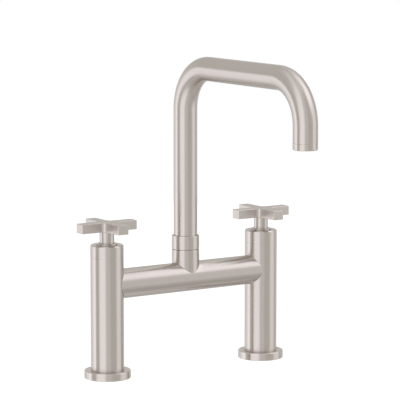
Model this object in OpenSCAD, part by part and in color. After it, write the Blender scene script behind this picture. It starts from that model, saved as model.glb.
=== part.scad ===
// Bridge kitchen faucet: two columns joined by a bridge, a swivelling spout and two cross handles.
// Frame: the deck is z = 0, and the origin lies on it, on the axis of the hot column.
// +X runs along the bridge to the cold column, -Y is the user's side, +Z is up. Millimetres.

/* [Deck] */
// Distance between the axes of the two columns
column_spacing = 203.2; // [180:0.1:230]
// Thickness of the deck that the shanks go through
deck_t = 32; // [20:1:36]

/* [Columns] */
// Outer diameter of a column
column_d = 36.2; // [34:0.1:42]
// Wall of the column tube
column_wall = 2.6; // [1.8:0.1:3]
// Height of a column, from the deck to the top face of its cap
column_h = 146.4; // [110:0.1:200]
// Height of the cap that shows above the column's seam
cap_h = 14; // [12:0.1:16]
// Chamfer round the top edge of the cap
cap_chamfer = 1; // [0.4:0.1:1.5]
// Outer diameter of the raised ring on the cap, round the hub's hole
cap_ring_d = 22.8; // [20:0.1:26]
// Height of that ring above the cap's top face
cap_ring_h = 1.5; // [0.8:0.1:2.5]
// Thickness of the cap's top plate
cap_plate_t = 4.5; // [3:0.1:5]
// Depth of the threaded skirt that the cap puts into the column
cap_skirt_h = 6.8; // [4:0.1:9]

/* [Flanges] */
// Outer diameter of a flange
flange_d = 50.8; // [48:0.1:64]
// Height of a flange
flange_h = 8.6; // [5:0.1:12]
// Chamfer round the top edge of a flange
flange_chamfer = 0.6; // [0.3:0.1:1.2]
// Thickness of the flange's floor, which the column stands on
flange_floor_t = 3; // [2.4:0.1:4]
// Outer diameter of the rubber gasket under a flange
gasket_d = 42; // [34:0.5:44]
// Inner diameter of the gasket
gasket_bore_d = 27; // [25:0.5:30]
// Thickness of the gasket, which lies flush in the flange
gasket_t = 1.5; // [1:0.1:1.8]

/* [Shanks] */
// Thread diameter of a shank, 1/2 in straight pipe thread
shank_d = 20.9; // [19:0.1:21.5]
// Water bore of a shank
shank_bore_d = 12; // [10:0.5:13]
// Length of a shank below the deck's top
shank_l = 78; // [74:1:100]
// Diameter of the plain shoulder that clamps the flange to the column
shoulder_d = 23; // [22.5:0.1:24.5]
// Length of that shoulder
shoulder_l = 8; // [5:0.5:12]
// Length of the thread at the free end, which takes the supply hose's nut
coupling_l = 20; // [14:1:24]
// Diameter of the relief between the two threads
relief_d = 19; // [17:0.1:18.8]
// Length of that relief
relief_l = 3; // [2:0.5:5]

/* [Deck fixings] */
// Outer diameter of the rubber washer under the deck
rubber_washer_d = 42; // [36:1:50]
// Thickness of the rubber washer
rubber_washer_t = 3; // [2:0.5:4]
// Outer diameter of the steel washer
steel_washer_d = 39; // [34:1:48]
// Thickness of the steel washer
steel_washer_t = 1.5; // [1:0.1:2.5]
// Width across the flats of the lock nut
lock_nut_af = 30; // [27:0.5:34]
// Height of the lock nut
lock_nut_h = 8.5; // [6:0.5:10]

/* [Supply pipes] */
// Length of shank thread that the plug in a column's foot takes
plug_thread_l = 9; // [6:0.5:14]
// Thickness of the plug's web between the shank and the pipe
plug_web_t = 1; // [0.6:0.1:3]
// Outer diameter of the pipe from the plug to the valve body
pipe_d = 15; // [13:0.5:16]
// Wall of that pipe
pipe_wall = 1; // [0.8:0.1:1.2]
// Depth of the socket that holds the pipe at each end
pipe_socket_l = 5; // [3:0.5:6]

/* [Valve bodies] */
// Height of the valve body above the bridge's axis, and below it
valve_half_h = 20; // [18:0.5:22]
// Height of its water chamber above the bridge's axis, and below it
chamber_half_h = 8; // [7:0.5:8.5]
// Diameter of the chamber
chamber_d = 21; // [20:0.1:23]
// Diameter of the inlet bore under the seat
inlet_d = 10; // [8:0.5:11]

/* [Cartridges] */
// Thread diameter of the cartridge
cartridge_d = 18; // [17.6:0.1:19]
// Outer diameter of the basket that holds the discs
basket_d = 16.8; // [16.4:0.1:17.4]
// Inner diameter of the basket
basket_bore_d = 14.8; // [14.4:0.1:15.2]
// Width across the flats of the cartridge's hexagon
hex_af = 22; // [20:0.5:23]
// Height of the hexagon
hex_h = 5; // [3:0.5:6]
// Diameter of the neck above the hexagon
neck_d = 15; // [13:0.5:16]
// Height of the neck
neck_h = 5; // [3:0.5:5.5]
// Height of the rubber seal that stands on the seat
seat_seal_h = 3; // [2.5:0.1:3.5]
// How far that seal stands below the basket
seat_seal_proud = 1; // [0.5:0.1:1.4]
// Thickness of each ceramic disc
disc_t = 3.5; // [3:0.1:3.8]
// Diameter of each round port in the fixed disc
port_d = 4; // [3:0.1:4.4]
// Distance of the ports from the disc's centre
port_offset = 4.6; // [4.3:0.1:4.8]
// Section diameter of the cartridge's O-ring
cartridge_seal_t = 1.8; // [1.5:0.1:2]

/* [Spindles] */
// Diameter of the spindle's foot, which turns the upper disc
foot_d = 13.2; // [12:0.1:13.6]
// Thickness of the foot
foot_t = 2.5; // [2:0.1:3]
// Width of the tongue that drives the upper disc
tongue_w = 3; // [2.4:0.1:3.4]
// Depth of the tongue in the disc
tongue_h = 1.4; // [1:0.1:1.8]
// Diameter of the spindle where its O-rings seal it
journal_d = 11; // [10:0.1:11.6]
// Length of that thick stretch
journal_l = 19; // [16:0.5:20]
// Diameter of the thin stem above it
stem_d = 8; // [7:0.1:8.6]
// Section diameter of the spindle's O-rings
spindle_seal_t = 1.4; // [1.2:0.1:1.6]
// Spacing of the two spindle O-rings
spindle_seal_gap = 6; // [4:0.5:7]
// Outer diameter of the clip that keeps the spindle in
clip_d = 11.6; // [10.8:0.1:13]
// Thickness of the clip
clip_t = 1; // [0.8:0.1:1.2]
// Depth of the clip's groove in the stem
clip_groove = 0.6; // [0.4:0.1:0.8]

/* [Handles] */
// Height of the cross above the cap's top face
hub_show = 14.6; // [10:0.1:20]
// Diameter of the hub
hub_d = 16; // [14:0.1:18]
// Depth to which the hub goes into the cap
hub_sink = 4; // [2:0.1:4.4]
// Solid end of the hub above the spindle
hub_end_t = 3; // [2:0.1:4]
// Diameter of the screwed end that the hub puts into the cross
hub_screw_d = 10; // [8:0.5:11]
// Length of that screwed end
hub_screw_l = 6; // [4:0.5:7]
// Span of the cross, from tip to tip
cross_span = 69; // [60:0.1:80]
// Width of each arm
arm_w = 12.7; // [12:0.1:15]
// Thickness of the cross
cross_t = 10.2; // [8.5:0.1:12]
// Radius of the rounded corners between the arms
arm_fillet = 5.5; // [3:0.1:8]
// Diameter of the set screw in the hub
set_screw_d = 4; // [3:0.5:5]
// Width across the flats of the set screw's socket
set_screw_af = 2; // [1.5:0.1:2.2]
// Depth of that socket
set_screw_socket = 1.5; // [1:0.1:2]

/* [Bridge] */
// Distance from the top of the columns down to the bridge's axis
bridge_drop = 44.5; // [42.5:0.1:50]
// Outer diameter of the bridge
bridge_d = 32.5; // [30:0.1:33.5]
// Wall of the bridge tube
bridge_wall = 2.25; // [1.8:0.05:2.6]
// Outer diameter of the nipple from a valve body to the bridge
nipple_d = 15; // [13:0.1:15.6]
// Water bore of the nipple
nipple_bore_d = 11; // [9:0.5:11.5]
// Gap between a column and the bush in the bridge's end
bush_gap = 0.9; // [0.5:0.1:0.95]
// Length of the bush
bush_l = 12; // [10:0.5:16]
// Section diameter of the O-ring on the nipple
nipple_seal_t = 2.4; // [1.8:0.1:2.8]

/* [Swivel] */
// Outer diameter of the post and of its collar
post_d = 30.5; // [30.2:0.1:32]
// Height of the post's top edge above the bridge's axis
post_rise = 31; // [28:0.5:40]
// Gap between the post and the collar, seen as a dark line
collar_gap = 1; // [0.6:0.1:1.6]
// Height of the collar
collar_h = 14.6; // [13:0.1:18]
// Wall of the collar round its thread
collar_wall = 1; // [0.8:0.05:1.2]
// Thickness of the collar's top lip
collar_lip_t = 3; // [2:0.1:4]
// Diameter of the post's spigot in the bridge
post_spigot_d = 24; // [23:0.1:25]
// How far that spigot reaches past the bridge's inner wall
post_spigot_reach = 1; // [0.5:0.1:3]
// Diameter of the post's bore, which the spout turns in
socket_d = 19.8; // [18:0.1:20.4]
// Water bore of the spout's tail
tail_bore_d = 14; // [11:0.5:14.4]
// Thickness of the tail's shoulder
shoulder_t = 3; // [2:0.1:3.4]
// Thickness of the retaining ring above the shoulder
retainer_t = 1.5; // [1:0.1:1.8]
// Thickness of the thrust washer under the shoulder
thrust_t = 1.2; // [0.8:0.1:1.5]
// Length of the tail in the spout tube
tail_grip_l = 10; // [7:0.5:14]
// Section diameter of the tail's O-rings
tail_seal_t = 2; // [1.6:0.1:2.2]
// Spacing of the two tail O-rings
tail_seal_gap = 8; // [5:0.5:9]

/* [Spout] */
// Outer diameter of the spout tube
spout_d = 26.1; // [25:0.1:26.6]
// Wall of the spout tube
spout_wall = 1.7; // [1.4:0.1:2.2]
// Height of the level arm's axis above the bridge's axis
arm_rise = 233.2; // [200:0.1:300]
// Reach of the spout, from its swivel axis to its outlet's axis
reach = 223.5; // [180:0.1:260]
// Centre line radius of both bends
bend_r = 46.8; // [36:0.1:55]
// Distance from the level arm's axis down to the outlet's mouth
outlet_drop = 70.9; // [66:0.1:120]

/* [Aerator] */
// Height of the aerator's housing that shows below the seam
aerator_h = 7.2; // [5:0.1:12]
// Length of the thread that it puts into the spout
aerator_thread_l = 9; // [7:0.5:14]
// Inner diameter of the housing
aerator_bore_d = 19.6; // [17:0.1:20]
// Width of the lip that holds the insert in
aerator_lip_w = 0.8; // [0.5:0.1:1.2]
// Thickness of that lip
aerator_lip_t = 1.6; // [1:0.1:2.4]
// Height of the insert
insert_h = 9.5; // [7:0.1:9.8]
// Thickness of the insert's perforated face
insert_face_t = 1.6; // [1:0.1:2.5]
// Wall of the insert
insert_wall = 1.2; // [0.8:0.1:1.8]
// Diameter of each hole in the insert's face
jet_d = 1.5; // [1:0.1:1.8]
// Distance between neighbouring holes
jet_pitch = 2.4; // [2.2:0.1:2.5]
// Rings of holes round the middle one
jet_rings = 3; // [1:1:3]
// Thickness of the washer on top of the insert
aerator_washer_t = 2; // [1.2:0.1:3]

/* [Fits] */
// Gap on each side of a brazed, threaded or pushed-in fit
fit_gap = 0.05; // [0.02:0.01:0.1]
// Gap on each side of a shaft that turns in its bore
run_gap = 0.06; // [0.03:0.01:0.1]
// Gap between other pieces that turn past each other
free_gap = 0.3; // [0.2:0.05:0.35]

/* [Hidden] */

// Roundness of every curve
$fn = 96;
// How far a cut runs past the solid that it goes through
over = 1;

// Colours
nickel = "#B9AFA8";
brass = "#C6A15B";
copper = "#B4714A";
steel = "#A9ABAE";
rubber = "#2C2C2E";
ceramic = "#ECEAE2";
acetal = "#E9E6DC";

// Heights above the deck that the other pieces are placed from
seam_z = column_h - cap_h;
bridge_z = column_h - bridge_drop;
arm_z = bridge_z + arm_rise;
outlet_z = arm_z - outlet_drop;

// Column: its bore and the space for the cartridge's hexagon
column_bore_d = column_d - 2 * column_wall;
hex_d = hex_af / cos(30);
cap_cavity_d = hex_d + 2 * free_gap;

// Foot of the column, the shank and what it holds under the deck
plug_h = plug_thread_l + plug_web_t + pipe_socket_l;
plug_top_z = flange_floor_t + plug_h;
shank_top_z = flange_floor_t + plug_thread_l;
rubber_washer_z = -deck_t - rubber_washer_t;
steel_washer_z = rubber_washer_z - steel_washer_t;
lock_nut_z = steel_washer_z - lock_nut_h;

// Valve body, with its side port on the bridge's axis
valve_bottom_z = bridge_z - valve_half_h;
valve_top_z = bridge_z + valve_half_h;
valve_d = column_bore_d - 2 * fit_gap;
seat_z = bridge_z - chamber_half_h;
pipe_bottom_z = plug_top_z - pipe_socket_l;
pipe_top_z = valve_bottom_z + pipe_socket_l;
pipe_bore_d = pipe_d - 2 * pipe_wall;

// Cartridge, from its seat upwards
basket_z = seat_z + seat_seal_proud;
fixed_disc_z = seat_z + seat_seal_h;
turning_disc_z = fixed_disc_z + disc_t;
foot_z = turning_disc_z + disc_t;
basket_top_z = foot_z + foot_t + free_gap;
thread_bottom_z = bridge_z + chamber_half_h + fit_gap;
cartridge_seal_z = valve_top_z - cartridge_seal_t / 2 - fit_gap;
cartridge_relief_d = cartridge_d - cartridge_seal_t;
neck_top_z = valve_top_z + hex_h + neck_h;
journal_top_z = foot_z + foot_t + journal_l;
clip_z = neck_top_z + fit_gap;

// Handle
cross_z = column_h + hub_show;
hub_z = column_h - hub_sink;
spindle_top_z = cross_z - hub_end_t;
spline_z = hub_z + hub_sink / 2;
set_screw_z = (column_h + cap_ring_h + cross_z) / 2;

// Bridge ends, measured from a column's axis towards the bridge's middle
bush_x = column_d / 2 + bush_gap;
bridge_bore_d = bridge_d - 2 * bridge_wall;
nipple_x = chamber_d / 2 + free_gap;
nipple_l = bush_x + bush_l - nipple_x;
nipple_seal_x = bush_x + bush_l / 2;

// Swivel, worked down from the collar's top
post_top_z = bridge_z + post_rise;
collar_z = post_top_z + collar_gap;
collar_top_z = collar_z + collar_h;
collar_thread_d = post_d - 2 * collar_wall;
retainer_z = collar_top_z - collar_lip_t - fit_gap - retainer_t;
tail_shoulder_z = retainer_z - fit_gap - shoulder_t;
thrust_z = tail_shoulder_z - thrust_t;
tail_d = socket_d - 2 * run_gap;
tail_shoulder_d = collar_thread_d - 2 * fit_gap - 2 * free_gap;
spout_foot_z = tail_shoulder_z + shoulder_t;
post_spigot_z = bridge_z + bridge_bore_d / 2 - post_spigot_reach;
tail_z = bridge_z + bridge_bore_d / 2;
tail_seal_low_z = (tail_z + thrust_z - tail_seal_gap) / 2;

// Spout and aerator
spout_bore_d = spout_d - 2 * spout_wall;
spout_end_z = outlet_z + aerator_h;
insert_z = outlet_z + aerator_lip_t;
insert_d = aerator_bore_d - 2 * fit_gap;

// Side of each column: the hot one stands on the origin, the cold one at the bridge's other end
hot = 0;
cold = 1;

// Puts a piece drawn on the Z axis, with its port facing +X, in the column on the given side
module at_column(side) {
  translate([side * column_spacing, 0, 0])
    mirror([side, 0, 0])
      children();
}

// Puts a piece drawn on the Z axis midway between the columns
module at_middle() {
  translate([column_spacing / 2, 0, 0]) children();
}

// Cylinder with a hole right through it
module tube(d, bore_d, h) {
  difference() {
    cylinder(d = d, h = h);
    translate([0, 0, -over]) cylinder(d = bore_d, h = h + 2 * over);
  }
}

// Disc whose top edge has a chamfer
module chamfered_disc(d, h, chamfer) {
  rotate_extrude()
    polygon([[0, 0], [d / 2, 0], [d / 2, h - chamfer], [d / 2 - chamfer, h], [0, h]]);
}

// Ring of round section, with its hole of the given diameter
module o_ring(hole_d, section_d) {
  rotate_extrude()
    translate([(hole_d + section_d) / 2, 0]) circle(d = section_d);
}

// Square-sided groove that an O-ring lies in, cut from a shaft
module o_ring_groove(shaft_d, depth, width) {
  translate([0, 0, -width / 2]) tube(shaft_d + 2 * over, shaft_d - 2 * depth, width);
}

// Hexagonal bar with the given width across its flats
module hexagon(af, h) {
  cylinder(d = af / cos(30), h = h, $fn = 6);
}

// Round ring on the deck whose floor carries the column
module flange() {
  color(nickel)
    difference() {
      chamfered_disc(flange_d, flange_h, flange_chamfer);
      translate([0, 0, flange_floor_t]) cylinder(d = column_d + 2 * fit_gap, h = flange_h);
      translate([0, 0, -over]) cylinder(d = shank_d + 2 * free_gap, h = flange_h);
      difference() {
        translate([0, 0, -over]) cylinder(d = gasket_d + 2 * fit_gap, h = gasket_t + over);
        translate([0, 0, -2 * over]) cylinder(d = gasket_bore_d - 2 * fit_gap, h = flange_h);
      }
    }
}

module flange_gasket() {
  color(rubber) tube(gasket_d, gasket_bore_d, gasket_t);
}

// Column tube, with the hole that the bridge's nipple passes
module column() {
  color(nickel)
    difference() {
      translate([0, 0, flange_floor_t]) tube(column_d, column_bore_d, seam_z - flange_floor_t);
      translate([0, 0, bridge_z])
        rotate([0, 90, 0]) cylinder(d = nipple_d + 2 * fit_gap, h = column_d);
    }
}

// Cap that screws into the column's top and lets the hub turn in its hole
module column_cap() {
  color(nickel)
    difference() {
      union() {
        translate([0, 0, seam_z]) chamfered_disc(column_d, cap_h, cap_chamfer);
        translate([0, 0, seam_z]) chamfered_disc(cap_ring_d, cap_h + cap_ring_h, free_gap);
        translate([0, 0, seam_z - cap_skirt_h]) cylinder(d = valve_d, h = cap_skirt_h);
      }
      translate([0, 0, seam_z - cap_skirt_h - over])
        cylinder(d = cap_cavity_d, h = cap_skirt_h + cap_h - cap_plate_t + over);
      translate([0, 0, seam_z])
        cylinder(d = hub_d + 2 * free_gap, h = cap_h + cap_ring_h + over);
    }
}

// Plug brazed into the column's foot, which joins the shank to the supply pipe
module column_plug() {
  color(brass)
    difference() {
      translate([0, 0, flange_floor_t]) cylinder(d = valve_d, h = plug_h);
      translate([0, 0, flange_floor_t - over])
        cylinder(d = shank_d + 2 * fit_gap, h = plug_thread_l + over);
      translate([0, 0, flange_floor_t]) cylinder(d = shank_bore_d, h = plug_h);
      translate([0, 0, pipe_bottom_z]) cylinder(d = pipe_d + 2 * fit_gap, h = pipe_socket_l + over);
    }
}

// Threaded shank through the deck, with its shoulder under the flange
module shank() {
  color(brass)
    difference() {
      union() {
        translate([0, 0, -shank_l]) cylinder(d = shank_d, h = coupling_l);
        translate([0, 0, coupling_l - shank_l]) cylinder(d = relief_d, h = relief_l);
        translate([0, 0, coupling_l + relief_l - shank_l])
          cylinder(d = shank_d, h = shank_l + shank_top_z - coupling_l - relief_l);
        translate([0, 0, -shoulder_l]) cylinder(d = shoulder_d, h = shoulder_l);
      }
      translate([0, 0, -shank_l - over])
        cylinder(d = shank_bore_d, h = shank_l + shank_top_z + 2 * over);
    }
}

module rubber_washer() {
  color(rubber)
    translate([0, 0, rubber_washer_z])
      tube(rubber_washer_d, shank_d + 2 * free_gap, rubber_washer_t);
}

module steel_washer() {
  color(steel)
    translate([0, 0, steel_washer_z])
      tube(steel_washer_d, shank_d + 2 * free_gap, steel_washer_t);
}

module lock_nut() {
  color(brass)
    translate([0, 0, lock_nut_z])
      difference() {
        hexagon(lock_nut_af, lock_nut_h);
        translate([0, 0, -over]) cylinder(d = shank_d + 2 * fit_gap, h = lock_nut_h + 2 * over);
      }
}

module supply_pipe() {
  color(copper)
    translate([0, 0, pipe_bottom_z]) tube(pipe_d, pipe_bore_d, pipe_top_z - pipe_bottom_z);
}

// Valve body: pipe socket, inlet, seat, chamber with its side port, and the cartridge's thread
module valve_body() {
  color(brass)
    difference() {
      translate([0, 0, valve_bottom_z]) cylinder(d = valve_d, h = 2 * valve_half_h);
      translate([0, 0, valve_bottom_z - over])
        cylinder(d = pipe_d + 2 * fit_gap, h = pipe_socket_l + over);
      translate([0, 0, valve_bottom_z]) cylinder(d = inlet_d, h = valve_half_h);
      translate([0, 0, seat_z]) cylinder(d = chamber_d, h = 2 * chamber_half_h);
      translate([0, 0, bridge_z]) cylinder(d = cartridge_d + 2 * fit_gap, h = valve_half_h + over);
      translate([0, 0, valve_top_z - cartridge_seal_t - 2 * fit_gap])
        cylinder(d = cartridge_d + cartridge_seal_t + 4 * fit_gap, h = cartridge_seal_t + over);
      translate([0, 0, bridge_z])
        rotate([0, 90, 0]) cylinder(d = nipple_d + 2 * fit_gap, h = valve_d);
    }
}

// Cartridge: basket with two windows, thread, hexagon and neck, bored for the spindle
module cartridge() {
  color(brass)
    difference() {
      union() {
        translate([0, 0, basket_z]) cylinder(d = basket_d, h = thread_bottom_z - basket_z);
        translate([0, 0, thread_bottom_z]) cylinder(d = cartridge_d, h = valve_top_z - thread_bottom_z);
        translate([0, 0, valve_top_z]) hexagon(hex_af, hex_h);
        translate([0, 0, valve_top_z + hex_h]) cylinder(d = neck_d, h = neck_h);
      }
      translate([0, 0, basket_z - over])
        cylinder(d = basket_bore_d, h = basket_top_z - basket_z + over);
      translate([0, 0, basket_z])
        cylinder(d = journal_d + 2 * run_gap, h = journal_top_z + free_gap - basket_z);
      translate([0, 0, basket_z]) cylinder(d = stem_d + 2 * run_gap, h = neck_top_z + over - basket_z);
      translate([-basket_d, -basket_bore_d / 4, turning_disc_z + fit_gap])
        cube([2 * basket_d, basket_bore_d / 2, disc_t + foot_t / 2]);
      translate([0, 0, cartridge_seal_z])
        o_ring_groove(cartridge_d, cartridge_seal_t / 2, cartridge_seal_t + 2 * fit_gap);
    }
}

module cartridge_seal() {
  color(rubber)
    translate([0, 0, cartridge_seal_z])
      o_ring(cartridge_relief_d + 2 * fit_gap, cartridge_seal_t);
}

module seat_seal() {
  color(rubber)
    translate([0, 0, seat_z]) tube(basket_bore_d - 2 * fit_gap, inlet_d, seat_seal_h);
}

// Lower ceramic disc, which stays still: two round ports, across the faucet's front and back
module fixed_disc() {
  color(ceramic)
    translate([0, 0, fixed_disc_z])
      difference() {
        cylinder(d = basket_bore_d - 2 * fit_gap, h = disc_t);
        for (way = [-1, 1])
          translate([0, way * port_offset, -over]) cylinder(d = port_d, h = disc_t + 2 * over);
      }
}

// Upper ceramic disc, which the spindle turns: its two notches meet the ports a quarter turn on
module turning_disc() {
  color(ceramic)
    translate([0, 0, turning_disc_z])
      difference() {
        cylinder(d = basket_bore_d - 2 * free_gap, h = disc_t);
        for (way = [-1, 1])
          translate([way * basket_bore_d / 2, 0, disc_t / 2])
            cube([2 * (basket_bore_d / 2 - port_offset + port_d / 2), port_d, disc_t + 2 * over],
              center = true);
        translate([-tongue_w / 2 - fit_gap, -basket_bore_d, disc_t - tongue_h - fit_gap])
          cube([tongue_w + 2 * fit_gap, 2 * basket_bore_d, tongue_h + fit_gap + over]);
      }
}

// Spindle: tongue, foot, sealed journal, stem with its clip groove, and splined end
module spindle() {
  color(brass)
    difference() {
      union() {
        intersection() {
          translate([0, 0, foot_z - tongue_h]) cylinder(d = foot_d, h = tongue_h + foot_t);
          translate([-tongue_w / 2, -foot_d, foot_z - tongue_h])
            cube([tongue_w, 2 * foot_d, tongue_h + foot_t]);
        }
        translate([0, 0, foot_z]) cylinder(d = foot_d, h = foot_t);
        translate([0, 0, foot_z]) cylinder(d = journal_d, h = journal_top_z - foot_z);
        translate([0, 0, foot_z]) cylinder(d = stem_d, h = spline_z - foot_z);
        translate([0, 0, spline_z]) cylinder(d = stem_d, h = spindle_top_z - spline_z, $fn = 12);
      }
      for (place = [-1, 1])
        translate([0, 0, (foot_z + foot_t + journal_top_z + place * spindle_seal_gap) / 2])
          o_ring_groove(journal_d, spindle_seal_t - run_gap, spindle_seal_t + 2 * fit_gap);
      translate([0, 0, clip_z + clip_t / 2]) o_ring_groove(stem_d, clip_groove, clip_t + 2 * fit_gap);
    }
}

module spindle_seals() {
  color(rubber)
    for (place = [-1, 1])
      translate([0, 0, (foot_z + foot_t + journal_top_z + place * spindle_seal_gap) / 2])
        o_ring(journal_d - 2 * spindle_seal_t + 2 * run_gap + fit_gap, spindle_seal_t - fit_gap);
}

// Open clip in the stem's groove, over the cartridge's neck
module spindle_clip() {
  color(steel)
    translate([0, 0, clip_z])
      difference() {
        tube(clip_d, stem_d - 2 * clip_groove + 2 * fit_gap, clip_t);
        translate([0, -stem_d / 4, -over]) cube([clip_d, stem_d / 2, clip_t + 2 * over]);
      }
}

// Hub that turns in the cap's hole and carries the cross on its screwed end
module handle_hub() {
  color(nickel)
    difference() {
      union() {
        translate([0, 0, hub_z]) cylinder(d = hub_d, h = cross_z - hub_z);
        translate([0, 0, cross_z]) cylinder(d = hub_screw_d, h = hub_screw_l);
      }
      translate([0, 0, hub_z - over]) cylinder(d = stem_d + 2 * fit_gap, h = spline_z - hub_z + over);
      translate([0, 0, spline_z - over])
        cylinder(d = stem_d + 2 * fit_gap, h = spindle_top_z - spline_z + over + fit_gap, $fn = 12);
      translate([0, 0, set_screw_z])
        rotate([-90, 0, 0]) cylinder(d = set_screw_d + 2 * fit_gap, h = hub_d);
    }
}

// Cross of four square-sided arms with rounded corners between them
module handle_cross() {
  color(nickel)
    translate([0, 0, cross_z])
      difference() {
        linear_extrude(cross_t)
          union() {
            square([cross_span, arm_w], center = true);
            square([arm_w, cross_span], center = true);
            for (turn = [0:90:270])
              rotate(turn)
                difference() {
                  square(arm_w / 2 + arm_fillet);
                  translate([arm_w / 2 + arm_fillet, arm_w / 2 + arm_fillet]) circle(r = arm_fillet);
                }
          }
        translate([0, 0, -over])
          cylinder(d = hub_screw_d + 2 * fit_gap, h = hub_screw_l + over + fit_gap);
      }
}

// Set screw in the hub's back, down on the spindle
module set_screw() {
  color(steel)
    translate([0, stem_d / 2 + fit_gap, set_screw_z])
      rotate([-90, 0, 0])
        difference() {
          cylinder(d = set_screw_d, h = (hub_d - stem_d) / 2 - 4 * fit_gap);
          translate([0, 0, (hub_d - stem_d) / 2 - 4 * fit_gap - set_screw_socket])
            hexagon(set_screw_af, set_screw_socket + over);
        }
}

// Nipple from the valve body's chamber through the column's wall into the bridge
module bridge_nipple() {
  color(brass)
    translate([nipple_x, 0, bridge_z]) rotate([0, 90, 0]) tube(nipple_d, nipple_bore_d, nipple_l);
}

// Bush brazed into the bridge's end, sealed on the nipple
module bridge_bush() {
  color(brass)
    translate([bush_x, 0, bridge_z])
      rotate([0, 90, 0])
        difference() {
          tube(bridge_bore_d - 2 * fit_gap, nipple_d + 2 * fit_gap, bush_l);
          translate([0, 0, bush_l / 2 - nipple_seal_t / 2 - fit_gap])
            cylinder(d = nipple_d + 2 * nipple_seal_t + 4 * fit_gap, h = nipple_seal_t + 2 * fit_gap);
        }
}

// O-rings between the nipples and their bushes, one at each end of the bridge
module bridge_seals() {
  color(rubber)
    for (side = [hot, cold])
      at_column(side)
        translate([nipple_seal_x, 0, bridge_z])
          rotate([0, 90, 0]) o_ring(nipple_d + 2 * fit_gap, nipple_seal_t);
}

// Bridge between the columns, its ends cut to their curve, with the hole for the post
module bridge_tube() {
  color(nickel)
    difference() {
      translate([0, 0, bridge_z]) rotate([0, 90, 0]) tube(bridge_d, bridge_bore_d, column_spacing);
      for (side = [hot, cold])
        at_column(side)
          translate([0, 0, bridge_z - bridge_d])
            cylinder(d = column_d + 2 * fit_gap, h = 2 * bridge_d);
      at_middle() translate([0, 0, bridge_z]) cylinder(d = post_spigot_d + 2 * fit_gap, h = bridge_d);
    }
}

// Post on the bridge: its foot follows the bridge's curve, its screwed end takes the collar
module spout_post() {
  color(nickel)
    difference() {
      union() {
        difference() {
          translate([0, 0, bridge_z]) cylinder(d = post_d, h = post_rise);
          translate([-post_d, 0, bridge_z])
            rotate([0, 90, 0]) cylinder(d = bridge_d + 2 * fit_gap, h = 2 * post_d);
        }
        translate([0, 0, post_spigot_z]) cylinder(d = post_spigot_d, h = post_top_z - post_spigot_z);
        translate([0, 0, post_top_z])
          cylinder(d = collar_thread_d - 2 * fit_gap, h = thrust_z - post_top_z);
      }
      translate([0, 0, bridge_z]) cylinder(d = socket_d, h = thrust_z - bridge_z + over);
    }
}

// Collar screwed on the post, whose lip keeps the spout down
module spout_collar() {
  color(nickel)
    difference() {
      translate([0, 0, collar_z]) cylinder(d = post_d, h = collar_h);
      translate([0, 0, collar_z - over])
        cylinder(d = collar_thread_d, h = collar_h - collar_lip_t + over);
      translate([0, 0, collar_z]) cylinder(d = spout_d + 2 * free_gap, h = collar_h + over);
    }
}

// Split ring between the collar's lip and the tail's shoulder
module spout_retainer() {
  color(acetal)
    translate([0, 0, retainer_z])
      difference() {
        tube(collar_thread_d - 2 * fit_gap, spout_d + 2 * free_gap, retainer_t);
        translate([0, -retainer_t / 2, -over]) cube([post_d, retainer_t, retainer_t + 2 * over]);
      }
}

module thrust_washer() {
  color(acetal)
    translate([0, 0, thrust_z]) tube(tail_shoulder_d, socket_d + 2 * free_gap, thrust_t);
}

// Tail brazed into the spout tube: it turns in the post on two O-rings
module swivel_tail() {
  color(brass)
    difference() {
      union() {
        translate([0, 0, tail_z]) cylinder(d = tail_d, h = spout_foot_z - tail_z);
        translate([0, 0, tail_shoulder_z]) cylinder(d = tail_shoulder_d, h = shoulder_t);
        translate([0, 0, spout_foot_z]) cylinder(d = spout_bore_d - 2 * fit_gap, h = tail_grip_l);
      }
      translate([0, 0, tail_z - over])
        cylinder(d = tail_bore_d, h = spout_foot_z + tail_grip_l - tail_z + 2 * over);
      for (place = [0, 1])
        translate([0, 0, tail_seal_low_z + place * tail_seal_gap])
          o_ring_groove(tail_d, tail_seal_t - run_gap, tail_seal_t + 2 * fit_gap);
    }
}

module swivel_seals() {
  color(rubber)
    for (place = [0, 1])
      translate([0, 0, tail_seal_low_z + place * tail_seal_gap])
        o_ring(tail_d - 2 * tail_seal_t + 2 * run_gap + fit_gap, tail_seal_t - fit_gap);
}

// Run of the spout at the given diameter: up, a bend, the level arm, a bend and down to the seam
module spout_run(d) {
  translate([0, 0, spout_foot_z]) cylinder(d = d, h = arm_z - bend_r - spout_foot_z);
  translate([0, -bend_r, arm_z - bend_r])
    rotate([90, 0, 90]) rotate_extrude(angle = 90) translate([bend_r, 0]) circle(d = d);
  translate([0, -bend_r, arm_z])
    rotate([90, 0, 0]) cylinder(d = d, h = reach - 2 * bend_r);
  translate([0, bend_r - reach, arm_z - bend_r])
    rotate([90, 0, 90])
      rotate([0, 0, 90]) rotate_extrude(angle = 90) translate([bend_r, 0]) circle(d = d);
  translate([0, -reach, spout_end_z]) cylinder(d = d, h = arm_z - bend_r - spout_end_z);
}

module spout_tube() {
  color(nickel)
    difference() {
      spout_run(spout_d);
      spout_run(spout_bore_d);
      translate([0, 0, spout_foot_z - over]) cylinder(d = spout_bore_d, h = 2 * over);
      translate([0, -reach, spout_end_z - over]) cylinder(d = spout_bore_d, h = 2 * over);
    }
}

// Aerator housing: the ring below the seam and the thread inside the spout
module aerator_housing() {
  color(nickel)
    translate([0, -reach, outlet_z])
      difference() {
        union() {
          cylinder(d = spout_d, h = aerator_h);
          cylinder(d = spout_bore_d - 2 * fit_gap, h = aerator_h + aerator_thread_l);
        }
        translate([0, 0, aerator_lip_t])
          cylinder(d = aerator_bore_d, h = aerator_h + aerator_thread_l);
        translate([0, 0, -over])
          cylinder(d = aerator_bore_d - 2 * aerator_lip_w, h = aerator_h);
      }
}

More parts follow.
